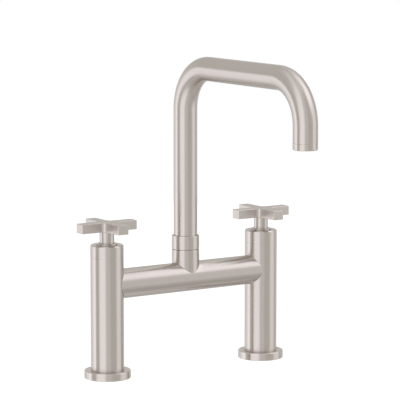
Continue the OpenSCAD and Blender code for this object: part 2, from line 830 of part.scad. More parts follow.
// Aerator insert: a cup whose face has rings of jets round one in the middle
module aerator_insert() {
  color(acetal)
    translate([0, -reach, insert_z])
      difference() {
        cylinder(d = insert_d, h = insert_h);
        translate([0, 0, insert_face_t]) cylinder(d = insert_d - 2 * insert_wall, h = insert_h);
        translate([0, 0, -over]) cylinder(d = jet_d, h = insert_face_t + 2 * over);
        for (ring = [1:jet_rings])
          for (jet = [1:6 * ring])
            rotate(360 * jet / (6 * ring))
              translate([ring * jet_pitch, 0, -over])
                cylinder(d = jet_d, h = insert_face_t + 2 * over);
      }
}

// Rubber washer that the insert is pressed against
module aerator_washer() {
  color(rubber)
    translate([0, -reach, insert_z + insert_h])
      tube(insert_d, insert_d - 4 * insert_wall, aerator_washer_t);
}

at_column(hot) flange();  // hot_flange
at_column(hot) flange_gasket();  // hot_flange_gasket
at_column(hot) column();  // hot_column
at_column(hot) column_cap();  // hot_column_cap
at_column(hot) column_plug();  // hot_column_plug
at_column(hot) shank();  // hot_shank
at_column(hot) rubber_washer();  // hot_rubber_washer
at_column(hot) steel_washer();  // hot_steel_washer
at_column(hot) lock_nut();  // hot_lock_nut
at_column(hot) supply_pipe();  // hot_supply_pipe
at_column(hot) valve_body();  // hot_valve_body
at_column(hot) cartridge();  // hot_cartridge
at_column(hot) cartridge_seal();  // hot_cartridge_seal
at_column(hot) seat_seal();  // hot_seat_seal
at_column(hot) fixed_disc();  // hot_fixed_disc
at_column(hot) turning_disc();  // hot_turning_disc
at_column(hot) spindle();  // hot_spindle
at_column(hot) spindle_seals();  // hot_spindle_seals
at_column(hot) spindle_clip();  // hot_spindle_clip
at_column(hot) handle_hub();  // hot_handle_hub
at_column(hot) handle_cross();  // hot_handle_cross
at_column(hot) set_screw();  // hot_set_screw
at_column(hot) bridge_nipple();  // hot_bridge_nipple
at_column(hot) bridge_bush();  // hot_bridge_bush
at_column(cold) flange();  // cold_flange
at_column(cold) flange_gasket();  // cold_flange_gasket
at_column(cold) column();  // cold_column
at_column(cold) column_cap();  // cold_column_cap
at_column(cold) column_plug();  // cold_column_plug
at_column(cold) shank();  // cold_shank
at_column(cold) rubber_washer();  // cold_rubber_washer
at_column(cold) steel_washer();  // cold_steel_washer
at_column(cold) lock_nut();  // cold_lock_nut
at_column(cold) supply_pipe();  // cold_supply_pipe
at_column(cold) valve_body();  // cold_valve_body
at_column(cold) cartridge();  // cold_cartridge
at_column(cold) cartridge_seal();  // cold_cartridge_seal
at_column(cold) seat_seal();  // cold_seat_seal
at_column(cold) fixed_disc();  // cold_fixed_disc
at_column(cold) turning_disc();  // cold_turning_disc
at_column(cold) spindle();  // cold_spindle
at_column(cold) spindle_seals();  // cold_spindle_seals
at_column(cold) spindle_clip();  // cold_spindle_clip
at_column(cold) handle_hub();  // cold_handle_hub
at_column(cold) handle_cross();  // cold_handle_cross
at_column(cold) set_screw();  // cold_set_screw
at_column(cold) bridge_nipple();  // cold_bridge_nipple
at_column(cold) bridge_bush();  // cold_bridge_bush
bridge_tube();
bridge_seals();
at_middle() spout_post();
at_middle() spout_collar();
at_middle() spout_retainer();
at_middle() thrust_washer();
at_middle() swivel_tail();
at_middle() swivel_seals();
at_middle() spout_tube();
at_middle() aerator_housing();
at_middle() aerator_insert();
at_middle() aerator_washer();
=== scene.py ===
"""Bridge kitchen faucet in satin nickel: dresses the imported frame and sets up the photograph's studio."""

from __future__ import annotations

import logging
import math
from dataclasses import dataclass, field, replace
from enum import Enum
from typing import Callable, Mapping, Sequence

import bpy
import numpy as np
from mathutils import Matrix, Vector
from mathutils.geometry import tessellate_polygon


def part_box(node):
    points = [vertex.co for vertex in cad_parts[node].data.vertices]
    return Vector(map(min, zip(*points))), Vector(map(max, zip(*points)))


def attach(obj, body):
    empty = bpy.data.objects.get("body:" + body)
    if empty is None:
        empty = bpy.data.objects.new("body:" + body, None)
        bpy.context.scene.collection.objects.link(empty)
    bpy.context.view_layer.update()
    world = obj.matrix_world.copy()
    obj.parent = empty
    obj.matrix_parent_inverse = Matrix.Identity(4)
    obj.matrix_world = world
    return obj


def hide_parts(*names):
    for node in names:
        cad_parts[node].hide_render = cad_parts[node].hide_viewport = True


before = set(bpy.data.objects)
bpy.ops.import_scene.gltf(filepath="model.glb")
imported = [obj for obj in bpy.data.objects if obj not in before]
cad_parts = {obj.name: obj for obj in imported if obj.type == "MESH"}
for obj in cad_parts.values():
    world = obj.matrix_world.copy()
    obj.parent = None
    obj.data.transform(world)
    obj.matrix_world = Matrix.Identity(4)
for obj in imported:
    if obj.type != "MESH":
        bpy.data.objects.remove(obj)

log = logging.getLogger("bridge_faucet")

MM = 0.001
SEGMENTS = 96
TINY = 1e-6
NOISE = (0.3, 0.7)  # where nearly all values of a noise lie
BEVEL_MM = 0.25  # how widely the edges of the frame's own solids are softened
EDGE_BEND = (0.995, 0.85)  # the cosine of that softening where an edge starts to show and shows fully
PAINTED_SHADE_POINT = (0.52, 0.44)  # the pointiness where the painted shade in hollows starts and is full
WEAR_AND_HIGHLIGHT_CLOUD, WEAR_AND_HIGHLIGHT_SHARE = (0.25, 0.75), (0.2, 0.9)  # clouding of the lighter edges, and how much of that tone it leaves, partly rubbing and partly painted highlight
WHITE = (1.0, 1.0, 1.0, 1.0)
X, Y, Z = np.eye(3)

Colour = tuple[float, float, float, float]
Tree = bpy.types.NodeTree
Socket = bpy.types.NodeSocket
Inputs = Mapping[str | int, object]
Axes = tuple[np.ndarray, np.ndarray, np.ndarray, np.ndarray]
Relief = Callable[[float, np.ndarray], tuple[np.ndarray, np.ndarray, np.ndarray]]


class Side(Enum):
    """The two columns of the faucet, named for the water that they carry."""

    HOT = "hot"
    COLD = "cold"


class Body(Enum):
    """The bodies of the frame that pieces ride on."""

    ROOT = "root"
    SPOUT = "spout"
    HOT_HANDLE = "hot_handle"
    COLD_HANDLE = "cold_handle"


class Slot(Enum):
    """The record's material slots."""

    NICKEL = "satin_nickel"
    BRASS = "raw_brass"
    COPPER = "copper"
    STEEL = "stainless_steel"
    RUBBER = "black_rubber"
    CERAMIC = "white_ceramic"
    ACETAL = "white_acetal"


class Coordinates(Enum):
    """Where a finish takes the run of its grain from."""

    GRAIN = "the grain laid down with the mesh"
    UPRIGHT = "the node's own place, turned about an upright axis"
    LENGTHWISE = "the node's own place, turned about the bridge's axis"


def linear(hex_colour: str) -> Colour:
    """Turns an sRGB hex colour to the linear values that a shader takes.

    Args:
        hex_colour: six hex digits after a #.

    Returns:
        Red, green, blue and an alpha of 1.
    """
    parts = [int(hex_colour[i : i + 2], 16) / 255 for i in (1, 3, 5)]
    red, green, blue = [p / 12.92 if p <= 0.04045 else ((p + 0.055) / 1.055) ** 2.4 for p in parts]
    return red, green, blue, 1.0


def add_node(tree: Tree, kind: str, inputs: Inputs | None = None) -> bpy.types.Node:
    """Adds one node with its settings, values and links.

    Args:
        tree: the node tree that the node goes into.
        kind: Blender's name for the node, without ShaderNode.
        inputs: each setting by its name, and each input's value or incoming socket by its name or number.

    Returns:
        The new node.
    """
    node = tree.nodes.new("ShaderNode" + kind)
    for key, value in (inputs or {}).items():
        if isinstance(key, str) and hasattr(node, key):
            setattr(node, key, value)
        elif isinstance(value, Socket):
            tree.links.new(value, node.inputs[key])
        else:
            node.inputs[key].default_value = value
    return node


def bare_tree(owner: bpy.types.Material | bpy.types.World) -> Tree:
    """Turns on the nodes of a material or a world and clears them.

    Args:
        owner: the material or the world.

    Returns:
        Its empty node tree.
    """
    owner.use_nodes = True
    owner.node_tree.nodes.clear()
    return owner.node_tree


def ramp(
    tree: Tree,
    value: Socket,
    given: Sequence[float],
    wanted: tuple[float, float] = (0.0, 1.0),
    smooth: bool = False,
) -> Socket:
    """Maps a value from one range to another and holds it at the ends.

    Args:
        tree: the node tree.
        value: the value to map.
        given: the start and end of its range.
        wanted: what they turn to.
        smooth: whether the change starts and ends softly.

    Returns:
        The mapped value.
    """
    ends = {"From Min": given[0], "From Max": given[1], "To Min": wanted[0], "To Max": wanted[1]}
    kind = "SMOOTHSTEP" if smooth else "LINEAR"
    return add_node(tree, "MapRange", {"interpolation_type": kind, "Value": value, **ends}).outputs[0]


def times(tree: Tree, a: Socket, b: Socket | float) -> Socket:
    """Multiplies two values."""
    return add_node(tree, "Math", {"operation": "MULTIPLY", 0: a, 1: b}).outputs[0]


def scaled(tree: Tree, vector: Socket | Sequence[float], by: Socket | float) -> Socket:
    """Multiplies a colour or a vector by a value."""
    return add_node(tree, "VectorMath", {"operation": "SCALE", 0: vector, "Scale": by}).outputs[0]


# Finishes


@dataclass(frozen=True)
class Surface:
    """The start of a finish: its streaks, its clouding and its edges, before a shader uses them."""

    tree: Tree
    streak: Socket
    cloud: Socket
    edge: Socket
    painted_shade: Socket


@dataclass(frozen=True)
class Finish:
    """A finish with what every one shares: the run and size of its grain, its edges lightened partly by
    rubbing and partly as painted highlight, and painted shade in its hollows.
    """

    name: str
    slot: Slot
    coordinates: Coordinates
    tone: str
    wear_and_highlight_tone: str
    painted_shade_tone: str
    roughness: float
    streak_mm: float
    streak_length_mm: float
    cloud_mm: float
    streak_depth_mm: float
    streak_tone: float = 0.05
    streak_roughness: float = 0.05
    cloud_roughness: float = 0.05
    edge_polish: float = 0.06

    def start(self, tree: Tree) -> Surface:
        """Adds the streaks, clouding and edges that the finish draws from.

        Args:
            tree: the material's empty tree.

        Returns:
            The tree and the sockets of its patterns.
        """
        if self.coordinates is Coordinates.GRAIN:
            place = add_node(tree, "Attribute", {"attribute_name": "grain"}).outputs["Vector"]
            # The mesh's edge marks: convex roundings take the lighter edge tone, partly rubbing and partly
            # painted highlight; concave ones take painted shade.
            lift = add_node(tree, "Attribute", {"attribute_name": "edge"}).outputs["Fac"]
            both = (lift, times(tree, lift, -1.0))
            edge, painted_shade = (add_node(tree, "Clamp", {"Value": value}).outputs[0] for value in both)
        else:
            where = add_node(tree, "TexCoord").outputs["Object"]
            parts = add_node(tree, "SeparateXYZ", {0: where}).outputs
            order = "ZXY" if self.coordinates is Coordinates.UPRIGHT else "XYZ"
            joined = add_node(tree, "CombineXYZ", {i: parts[c] for i, c in enumerate(order)}).outputs[0]
            place = scaled(tree, joined, 1 / MM)
            # The Bevel node finds edges for the lighter tone, partly rubbing and partly painted highlight;
            # pointiness finds hollows for painted shade.
            soft = add_node(tree, "Bevel", {"samples": 4, "Radius": BEVEL_MM * MM}).outputs[0]
            bare = add_node(tree, "NewGeometry").outputs
            bend = add_node(tree, "VectorMath", {"operation": "DOT_PRODUCT", 0: soft, 1: bare["Normal"]})
            edge = ramp(tree, bend.outputs["Value"], EDGE_BEND, smooth=True)
            painted_shade = ramp(tree, bare["Pointiness"], PAINTED_SHADE_POINT, smooth=True)
        fine, along = 1 / self.streak_mm, 1 / self.streak_length_mm
        drawn = add_node(tree, "Mapping", {"Scale": (fine, along, along), "Vector": place}).outputs[0]
        streaks = {"Scale": 1.0, "Detail": 3.0, "Roughness": 0.6, "Vector": drawn}
        clouds = {"Scale": 1 / self.cloud_mm, "Detail": 2.0, "Roughness": 0.5, "Vector": place}
        streak, cloud = (add_node(tree, "TexNoise", kind).outputs["Fac"] for kind in (streaks, clouds))
        return Surface(tree, streak, cloud, edge, painted_shade)

    def colour(self, on: Surface) -> Socket:
        """Lays the body tone, the streaks, the painted shade in hollows and the lighter edges, partly rubbed
        and partly painted highlight, over each other.

        Args:
            on: the patterns of the surface.

        Returns:
            The colour socket.
        """
        shade = ramp(on.tree, on.streak, NOISE, (1 - self.streak_tone, 1 + self.streak_tone))
        # Edges lighten towards the lighter edge tone, partly rubbing and partly painted highlight.
        wear_and_highlight_mask = times(on.tree, on.edge, ramp(on.tree, on.cloud, WEAR_AND_HIGHLIGHT_CLOUD, WEAR_AND_HIGHLIGHT_SHARE))
        body, wear_and_highlight_tone = linear(self.tone), linear(self.wear_and_highlight_tone)
        # Painted shade: hollows darken towards the painted shade tone.
        painted_shade_mix = {"data_type": "RGBA", 0: on.painted_shade, 6: body, 7: linear(self.painted_shade_tone)}
        shaded_body = add_node(on.tree, "Mix", painted_shade_mix).outputs[2]
        bright = add_node(on.tree, "Mix", {"data_type": "RGBA", 0: wear_and_highlight_mask, 6: shaded_body, 7: wear_and_highlight_tone}).outputs[2]
        return scaled(on.tree, bright, shade)

    def roughness_of(self, on: Surface) -> Socket:
        """Varies the roughness with the streaks and clouding, and polishes the edges.

        Args:
            on: the patterns of the surface.

        Returns:
            The roughness socket.
        """
        swing = self.cloud_roughness
        by_streak = ramp(on.tree, on.streak, NOISE, (-self.streak_roughness, self.streak_roughness))
        by_cloud = ramp(on.tree, on.cloud, NOISE, (self.roughness - swing, self.roughness + swing))
        both = add_node(on.tree, "Math", {"operation": "ADD", 0: by_streak, 1: by_cloud}).outputs[0]
        polish = {"operation": "MULTIPLY_ADD", "use_clamp": True, 0: on.edge, 1: -self.edge_polish, 2: both}
        return add_node(on.tree, "Math", polish).outputs[0]

    def own(self, tree: Tree) -> Inputs:
        """Gives what only this kind of finish sets on its shader."""
        raise NotImplementedError

    def make(self) -> bpy.types.Material:
        """Makes the material, with the streaks raised at their real depth.

        Returns:
            The material.
        """
        material = bpy.data.materials.new(self.name)
        on = self.start(bare_tree(material))
        relief = {"Strength": 1.0, "Distance": self.streak_depth_mm * MM, "Height": on.streak}
        drawn = {
            "Base Color": self.colour(on),
            "Roughness": self.roughness_of(on),
            "Normal": add_node(on.tree, "Bump", relief).outputs[0],
        }
        shader = add_node(on.tree, "BsdfPrincipled", {**self.own(on.tree), **drawn})
        add_node(on.tree, "OutputMaterial", {"Surface": shader.outputs[0]})
        return material


@dataclass(frozen=True)
class BrushedMetal(Finish):
    """A metal finished with a belt or a tool, so that its reflections stretch across the scratches."""

    stretch: float = 0.7
    rim_tone: str = "#FFFFFF"

    def own(self, tree: Tree) -> Inputs:
        """Makes it metal, and stretches its reflections where the mesh carries the run of the grain.

        Args:
            tree: the material's tree.

        Returns:
            The shader's values and links.
        """
        metal = {"Metallic": 1.0, "Specular Tint": linear(self.rim_tone)}
        if self.coordinates is not Coordinates.GRAIN:
            return metal
        lay = add_node(tree, "Tangent", {"direction_type": "UV_MAP", "uv_map": "UVMap"}).outputs[0]
        return metal | {"Anisotropic": self.stretch, "Tangent": lay}


@dataclass(frozen=True)
class Solid(Finish):
    """A finish that isn't metal: rubber, ceramic or plastic."""

    ior: float = 1.5
    coat: float = 0.0
    coat_roughness: float = 0.1
    subsurface: float = 0.0
    subsurface_radius: tuple[float, float, float] = (1.0, 0.9, 0.8)
    subsurface_mm: float = 0.8

    def own(self, tree: Tree) -> Inputs:
        """Sets the gloss, and lets light a little way in where the stuff is milky.

        Args:
            tree: the material's tree, which needs no further node.

        Returns:
            The shader's values.
        """
        gloss = {"Metallic": 0.0, "IOR": self.ior, "Coat Weight": self.coat}
        gloss["Coat Roughness"] = self.coat_roughness
        if not self.subsurface:
            return gloss
        depth = {"Subsurface Radius": self.subsurface_radius, "Subsurface Scale": self.subsurface_mm * MM}
        return gloss | {"Subsurface Weight": self.subsurface} | depth


# Satin nickel: brass plated with nickel and drawn over a fine belt while it turned. The eye gets a warm grey
# that stretches each reflection across the scratches, with crisp bands along a tube and no mirror image. Belt
# scratches are about 0.05 mm apart, too fine to show here, so the streaks are drawn at 0.45 mm.
SATIN_NICKEL = BrushedMetal(
    name="satin_nickel_turned",
    slot=Slot.NICKEL,
    coordinates=Coordinates.GRAIN,
    tone="#D3CCC7",
    # The next tone lightens the edges, partly rubbing and partly painted highlight; the one after is painted
    # shade in hollows.
    wear_and_highlight_tone="#DCD5CF",
    painted_shade_tone="#B2AAA4",
    roughness=0.28,
    streak_mm=0.45,
    streak_length_mm=28,
    cloud_mm=14,
    streak_depth_mm=0.0003,
    streak_tone=0.005,
    streak_roughness=0.004,
    cloud_roughness=0.008,
    edge_polish=0.05,
    stretch=0.8,
    rim_tone="#F0F0F0",
)

# The same plating on ground flats: the belt ran along the bars, so they hold one even tone with soft edges.
SATIN_NICKEL_FLAT = replace(
    SATIN_NICKEL,
    name="satin_nickel_ground",
    roughness=0.32,
    streak_mm=0.5,
    streak_length_mm=22,
    cloud_mm=9,
    streak_depth_mm=0.0004,
    streak_tone=0.006,
    streak_roughness=0.005,
    cloud_roughness=0.012,
    edge_polish=0.06,
    stretch=0.5,
)

# Raw brass turned on a lathe and left bare: yellow, with fine tool rings, painted shade in its hollows and
# edges lightened partly by rubbing and partly as painted highlight.
TURNED_BRASS = BrushedMetal(
    name="turned_brass",
    slot=Slot.BRASS,
    coordinates=Coordinates.UPRIGHT,
    tone="#C29A54",
    wear_and_highlight_tone="#E2C283",
    painted_shade_tone="#7E5E2E",
    roughness=0.34,
    streak_mm=0.3,
    streak_length_mm=30,
    cloud_mm=8,
    streak_depth_mm=0.004,
    streak_tone=0.08,
    streak_roughness=0.08,
    cloud_roughness=0.06,
)

# Brass turned about the bridge's axis, for the nipples and bushes along it: its rings run round that axis.
LONG_BRASS = replace(TURNED_BRASS, name="turned_brass_lengthwise", coordinates=Coordinates.LENGTHWISE)

# The same brass where this file cuts the piece: fresh crests lightened partly by rubbing and partly as
# painted highlight, and thread roots darkened as painted shade.
CUT_BRASS = replace(
    TURNED_BRASS,
    name="cut_brass",
    coordinates=Coordinates.GRAIN,
    wear_and_highlight_tone="#E6C98E",
    painted_shade_tone="#6E5128",
    roughness=0.33,
    cloud_mm=7,
    streak_depth_mm=0.003,
    streak_roughness=0.07,
    stretch=0.4,
)

# Drawn copper pipe: pulled through a die, so its lines run along the pipe and its skin has dulled to a soft
# brown in clouds.
DRAWN_COPPER = BrushedMetal(
    name="drawn_copper",
    slot=Slot.COPPER,
    coordinates=Coordinates.UPRIGHT,
    tone="#B4714A",
    wear_and_highlight_tone="#DC9C77",
    painted_shade_tone="#6C3E28",
    roughness=0.31,
    streak_mm=18,
    streak_length_mm=0.6,
    cloud_mm=6,
    streak_depth_mm=0.003,
    streak_tone=0.1,
    streak_roughness=0.06,
    cloud_roughness=0.09,
)

# Stainless steel, stamped or turned and tumbled: a cold even grey with a fine cloudy sheen.
TUMBLED_STEEL = BrushedMetal(
    name="tumbled_stainless_steel",
    slot=Slot.STEEL,
    coordinates=Coordinates.UPRIGHT,
    tone="#A9ABAE",
    wear_and_highlight_tone="#D2D3D5",
    painted_shade_tone="#6D6F72",
    roughness=0.36,
    streak_mm=0.5,
    streak_length_mm=2.5,
    cloud_mm=5,
    streak_depth_mm=0.002,
    streak_tone=0.06,
    streak_roughness=0.06,
    cloud_roughness=0.06,
)

# Moulded nitrile rubber: nearly black, with the faint bloom and matt grain that a mould leaves.
MOULDED_RUBBER = Solid(
    name="moulded_rubber",
    slot=Slot.RUBBER,
    coordinates=Coordinates.UPRIGHT,
    tone="#2A2A2C",
    wear_and_highlight_tone="#4A4A4B",
    painted_shade_tone="#1C1C1D",
    roughness=0.62,
    streak_mm=0.35,
    streak_length_mm=0.35,
    cloud_mm=4,
    streak_depth_mm=0.02,
    streak_tone=0.18,
    streak_roughness=0.08,
    cloud_roughness=0.08,
    ior=1.52,
)

# Alumina ceramic, pressed, fired and lapped flat: a hard creamy white with a wet gloss on the lapped face.
LAPPED_CERAMIC = Solid(
    name="lapped_alumina",
    slot=Slot.CERAMIC,
    coordinates=Coordinates.UPRIGHT,
    tone="#ECEAE2",
    wear_and_highlight_tone="#F6F4EE",
    painted_shade_tone="#CFCBBE",
    roughness=0.24,
    streak_mm=0.4,
    streak_length_mm=0.4,
    cloud_mm=3,
    streak_depth_mm=0.002,
    streak_tone=0.03,
    ior=1.77,
    coat=0.2,
)

# Moulded acetal: a milky white plastic, slightly waxy, with a fine matt grain.
MOULDED_ACETAL = Solid(
    name="moulded_acetal",
    slot=Slot.ACETAL,
    coordinates=Coordinates.UPRIGHT,
    tone="#E9E6DC",
    wear_and_highlight_tone="#F4F2EA",
    painted_shade_tone="#C9C4B4",
    roughness=0.42,
    streak_mm=0.4,
    streak_length_mm=0.4,
    cloud_mm=5,
    streak_depth_mm=0.008,
    streak_tone=0.04,
    ior=1.48,
    subsurface=0.15,
)


# Outlines and meshes


@dataclass(frozen=True)
class Saddle:
    """The end of a tube that is cut to sit on a crossing cylinder."""

    radius: float
    sign: int

    def rise(self, across: np.ndarray) -> np.ndarray:
        """How far the end stands along its own axis, at distances from the plane of the two axes."""
        return self.sign * np.sqrt(self.radius**2 - across**2)

    def slope(self, across: np.ndarray) -> np.ndarray:
        """The slope of that rise."""
        return -self.sign * across / np.sqrt(self.radius**2 - across**2)


@dataclass(frozen=True)
class Corner:
    """One corner of an outline, in millimetres from and along the axis, with its rounding."""

    out: float
    up: float
    round: float = 0.15
    saddle: Saddle | None = None
    steps: int = 4


@dataclass(frozen=True)
class Row:
    """One sampled point of an outline: its place, outward direction, run from the start, and how much its
    colour is lightened by rubbing and painted highlight, or darkened as painted shade.
    """

    out: float
    up: float
    facing_out: float
    facing_up: float
    run: float
    edge: float
    saddle: Saddle | None


def trace(corners: Sequence[Corner], closed: bool = True, support: float = 0.8) -> list[Row]:
    """Follows an outline counter-clockwise and rounds its corners, with exact outward directions.

    Args:
        corners: the corners in order, with the material on the left.
        closed: whether the last corner joins the first. If so, the first row comes again at the end.
        support: how far from a rounding the lighter edge and the painted shade have faded, in millimetres.

    Returns:
        The rows in order.
    """
    most = 0.45  # the share of a side that one rounding may take
    count = len(corners)
    found: list[tuple[np.ndarray, np.ndarray, float, Saddle | None]] = []

    def leg(a: Corner, b: Corner) -> tuple[np.ndarray, float]:
        """Measures the side of the outline between two corners.

        Args:
            a: the corner that it leaves.
            b: the corner that it reaches.

        Returns:
            Its direction and its length.
        """
        step = np.array([b.out - a.out, b.up - a.up])
        length = float(np.hypot(*step))
        return step / length, length

    def right(way: np.ndarray) -> np.ndarray:
        """The direction to the right of another."""
        return np.array([way[1], -way[0]])

    for i, corner in enumerate(corners):
        here = np.array([corner.out, corner.up])
        if not closed and i in (0, count - 1):
            way, _ = leg(corner, corners[1]) if i == 0 else leg(corners[-2], corner)
            found.append((here, right(way), 0.0, corner.saddle))
            continue
        into, before = leg(corners[i - 1], corner)
        away, after = leg(corner, corners[(i + 1) % count])
        turn = math.atan2(into[0] * away[1] - into[1] * away[0], float(into @ away))
        first = right(into)
        if abs(turn) < TINY:
            found.append((here, first, 0.0, corner.saddle))
            continue
        bulge = abs(math.tan(turn / 2))
        back = min(corner.round * bulge, most * before, most * after)
        radius, side = back / bulge, 1 if turn > 0 else -1
        centre = here - into * back - side * first * radius
        lead, tail = min(support, before / 3), min(support, after / 3)
        if back + lead < before / 2:
            found.append((here - into * (back + lead), first, 0.0, corner.saddle))
        for k in range(corner.steps + 1):
            cos, sin = math.cos(turn * k / corner.steps), math.sin(turn * k / corner.steps)
            facing = np.array([first[0] * cos - first[1] * sin, first[0] * sin + first[1] * cos])
            found.append((centre + side * facing * radius, facing, float(side), corner.saddle))
        if back + tail < after / 2:
            found.append((here + away * (back + tail), right(away), 0.0, corner.saddle))
    if closed:
        found.append(found[0])
    rows, run = [], 0.0
    for i, (place, facing, edge, saddle) in enumerate(found):
        if i:
            run += float(np.hypot(*(place - found[i - 1][0])))
        rows.append(Row(place[0], place[1], facing[0], facing[1], run, edge, saddle))
    return rows


class Line:
    """A straight axis to turn or sweep about."""

    def __init__(self, origin: Sequence[float], first: np.ndarray = X, along: np.ndarray = Z) -> None:
        """Sets the axis.

        Args:
            origin: the point where the outline's own height is zero, in millimetres.
            first: the direction that a turn of zero points in.
            along: the direction of the axis.
        """
        self.origin, self.first, self.along = np.array(origin, float), first, along
        self.second = np.cross(along, first)

    @classmethod
    def upright(cls, middle: np.ndarray) -> Line:
        """The upright axis through a point, with heights counted from the deck."""
        return cls((middle[0], middle[1], 0.0))

    def frame(self, up: float) -> Axes:
        """Gives the centre and the three directions at a height along the axis."""
        return self.origin + self.along * up, self.first, self.second, self.along


class SpoutLine:
    """The bent centre line of the spout: up, over towards the user and down, in one upright plane."""

    def __init__(self, foot: Sequence[float], rise: float, bend: float, arm: float, drop: float) -> None:
        """Sets the line.

        Args:
            foot: the lowest point, in millimetres.
            rise: the straight length up to the first bend.
            bend: the radius of both bends.
            arm: the straight length between them.
            drop: the straight length after the second.
        """
        self.foot = np.array(foot, float)
        self.rise, self.bend, self.arm = rise, bend, arm
        self.quarter = bend * math.pi / 2
        self.length = rise + arm + drop + 2 * self.quarter

    def stops(self, steps: int = 26) -> list[float]:
        """The places along the line where a row is needed, closely set round the bends."""
        bends = [self.rise, self.rise + self.quarter + self.arm]
        return [start + self.quarter * k / steps for start in bends for k in range(steps + 1)]

    def frame(self, up: float) -> Axes:
        """Finds the line's place and directions.

        Args:
            up: the length along the line.

        Returns:
            The centre there, and the directions of a turn of zero, of a quarter turn and along the line.
        """
        top = self.foot + Z * self.rise
        level, second = self.rise + self.quarter, self.rise + self.quarter + self.arm
        if up <= self.rise:
            centre, along = self.foot + Z * up, Z
        elif level < up <= second:
            centre, along = top + Z * self.bend - Y * (self.bend + up - level), -Y
        elif up > second + self.quarter:
            gone = up - second - self.quarter
            centre, along = top - Y * (2 * self.bend + self.arm) - Z * gone, -Z
        else:
            late = up > second
            turn = math.pi / 2 + (up - second) / self.bend if late else (up - self.rise) / self.bend
            middle = top - Y * (self.bend + (self.arm if late else 0.0))
            centre = middle + self.bend * (math.cos(turn) * Y + math.sin(turn) * Z)
            along = -math.sin(turn) * Y + math.cos(turn) * Z
        return centre, X, np.cross(along, X), along


@dataclass
class Skin:
    """The points, outward directions and faces of one piece, in millimetres, before its mesh is made."""

    name: str
    points: list[np.ndarray] = field(default_factory=list)
    facings: list[np.ndarray] = field(default_factory=list)
    grains: list[Sequence[float]] = field(default_factory=list)
    edges: list[float] = field(default_factory=list)
    faces: list[tuple[int, ...]] = field(default_factory=list)
    laid: list[tuple[tuple[float, float], ...]] = field(default_factory=list)

    def point(self, place: np.ndarray, facing: np.ndarray, grain: Sequence[float], edge: float = 0.0) -> int:
        """Adds one point.

        Args:
            place: where it is.
            facing: its outward direction, of any length.
            grain: its place in the run of the grain.
            edge: how much its colour is lightened by rubbing and painted highlight, or darkened as painted
                shade if negative.

        Returns:
            Its number.
        """
        self.points.append(place)
        self.facings.append(facing / (np.linalg.norm(facing) or 1.0))
        self.grains.append(grain)
        self.edges.append(edge)
        return len(self.points) - 1

    def face(self, corners: Sequence[int], laid: Sequence[tuple[float, float]]) -> None:
        """Adds a face by its corners' numbers and their places in the run of the grain."""
        self.faces.append(tuple(corners))
        self.laid.append(tuple(laid))

    def strip(
        self,
        low: Sequence[int],
        high: Sequence[int],
        u: tuple[float, float],
        v: Sequence[float],
        flip: bool = False,
    ) -> None:
        """Joins two rows of points with faces, the second row being further along the outline.

        Args:
            low: the numbers of the first row's points.
            high: the numbers of the second row's points.
            u: the run of the two rows across the grain.
            v: the run of each point along the grain, which is as long as the rows.
            flip: whether the outward side is the other one.
        """
        for j in range(len(low) - 1):
            corners = [low[j], low[j + 1], high[j + 1], high[j]]
            laid = [(u[0], v[j]), (u[0], v[j + 1]), (u[1], v[j + 1]), (u[1], v[j])]
            way = -1 if flip else 1
            self.face(corners[::way], laid[::way])

    def fill(self, rings: Sequence[Sequence[int]], facing: np.ndarray) -> None:
        """Fills a flat region between an outer ring and the rings of its holes.

        Args:
            rings: the point numbers of each ring, the outer one first.
            facing: the outward direction of the region.
        """
        flat = [n for ring in rings for n in ring]
        across, along = [a for a in range(3) if a != int(np.argmax(np.abs(facing)))]
        for tri in tessellate_polygon([[Vector(self.points[n]) for n in ring] for ring in rings]):
            corners = [flat[k] for k in tri]
            a, b, c = (self.points[n] for n in corners)
            if np.dot(np.cross(b - a, c - a), facing) < 0:
                corners.reverse()
            self.face(corners, [(self.points[n][along], self.points[n][across]) for n in corners])

    def build(self, finish: bpy.types.Material) -> bpy.types.Object:
        """Makes the mesh object, with its outward directions, its grain and its finish.

        Args:
            finish: the material.

        Returns:
            The object, in metres.
        """
        laid_scale = 0.01
        mesh = bpy.data.meshes.new(self.name)
        mesh.from_pydata((np.array(self.points) * MM).tolist(), [], self.faces)
        layer = mesh.uv_layers.new(name="UVMap")
        layer.data.foreach_set("uv", np.array([c for f in self.laid for c in f], float).ravel() * laid_scale)
        grain = mesh.attributes.new("grain", "FLOAT_VECTOR", "POINT")
        grain.data.foreach_set("vector", np.array(self.grains, float).ravel())
        edge = mesh.attributes.new("edge", "FLOAT", "POINT")
        edge.data.foreach_set("value", np.array(self.edges, float))
        mesh.shade_smooth()
        mesh.normals_split_custom_set_from_vertices(np.array(self.facings).tolist())
        mesh.materials.append(finish)
        made = bpy.data.objects.new(self.name, mesh)
        bpy.context.scene.collection.objects.link(made)
        return made


@dataclass(frozen=True)
class Window:
    """A round hole bored through the wall of a turned piece, square to its axis."""

    turn_steps: int
    up: float
    radius: float
    wide_steps: int = 10
    margin: float = 1.25
    tall_steps: int = 12

    @property
    def half(self) -> float:
        """Half the height that the window takes of a wall."""
        return self.radius * self.margin

    def levels(self, out: float, downward: bool = False) -> list[Corner]:
        """The extra rows that the wall needs round the hole.

        Args:
            out: the wall's distance from the axis.
            downward: whether the outline runs down this wall.

        Returns:
            Corners that lie on the straight wall.
        """
        half, count = self.half, self.tall_steps
        rises = [self.up - half + 2 * half * k / count for k in range(count + 1)]
        return [Corner(out, rise) for rise in rises[:: -1 if downward else 1]]

    def meets(self, row: Row) -> bool:
        """Whether a row lies on a straight wall within the height that the window takes."""
        return abs(row.facing_up) < TINY and row.edge == 0 and abs(row.up - self.up) <= self.half + TINY

    def takes(self, j: int, segments: int) -> bool:
        """Whether face j round the axis lies within the width that the window takes."""
        return (j - self.turn_steps + self.wide_steps) % segments < 2 * self.wide_steps


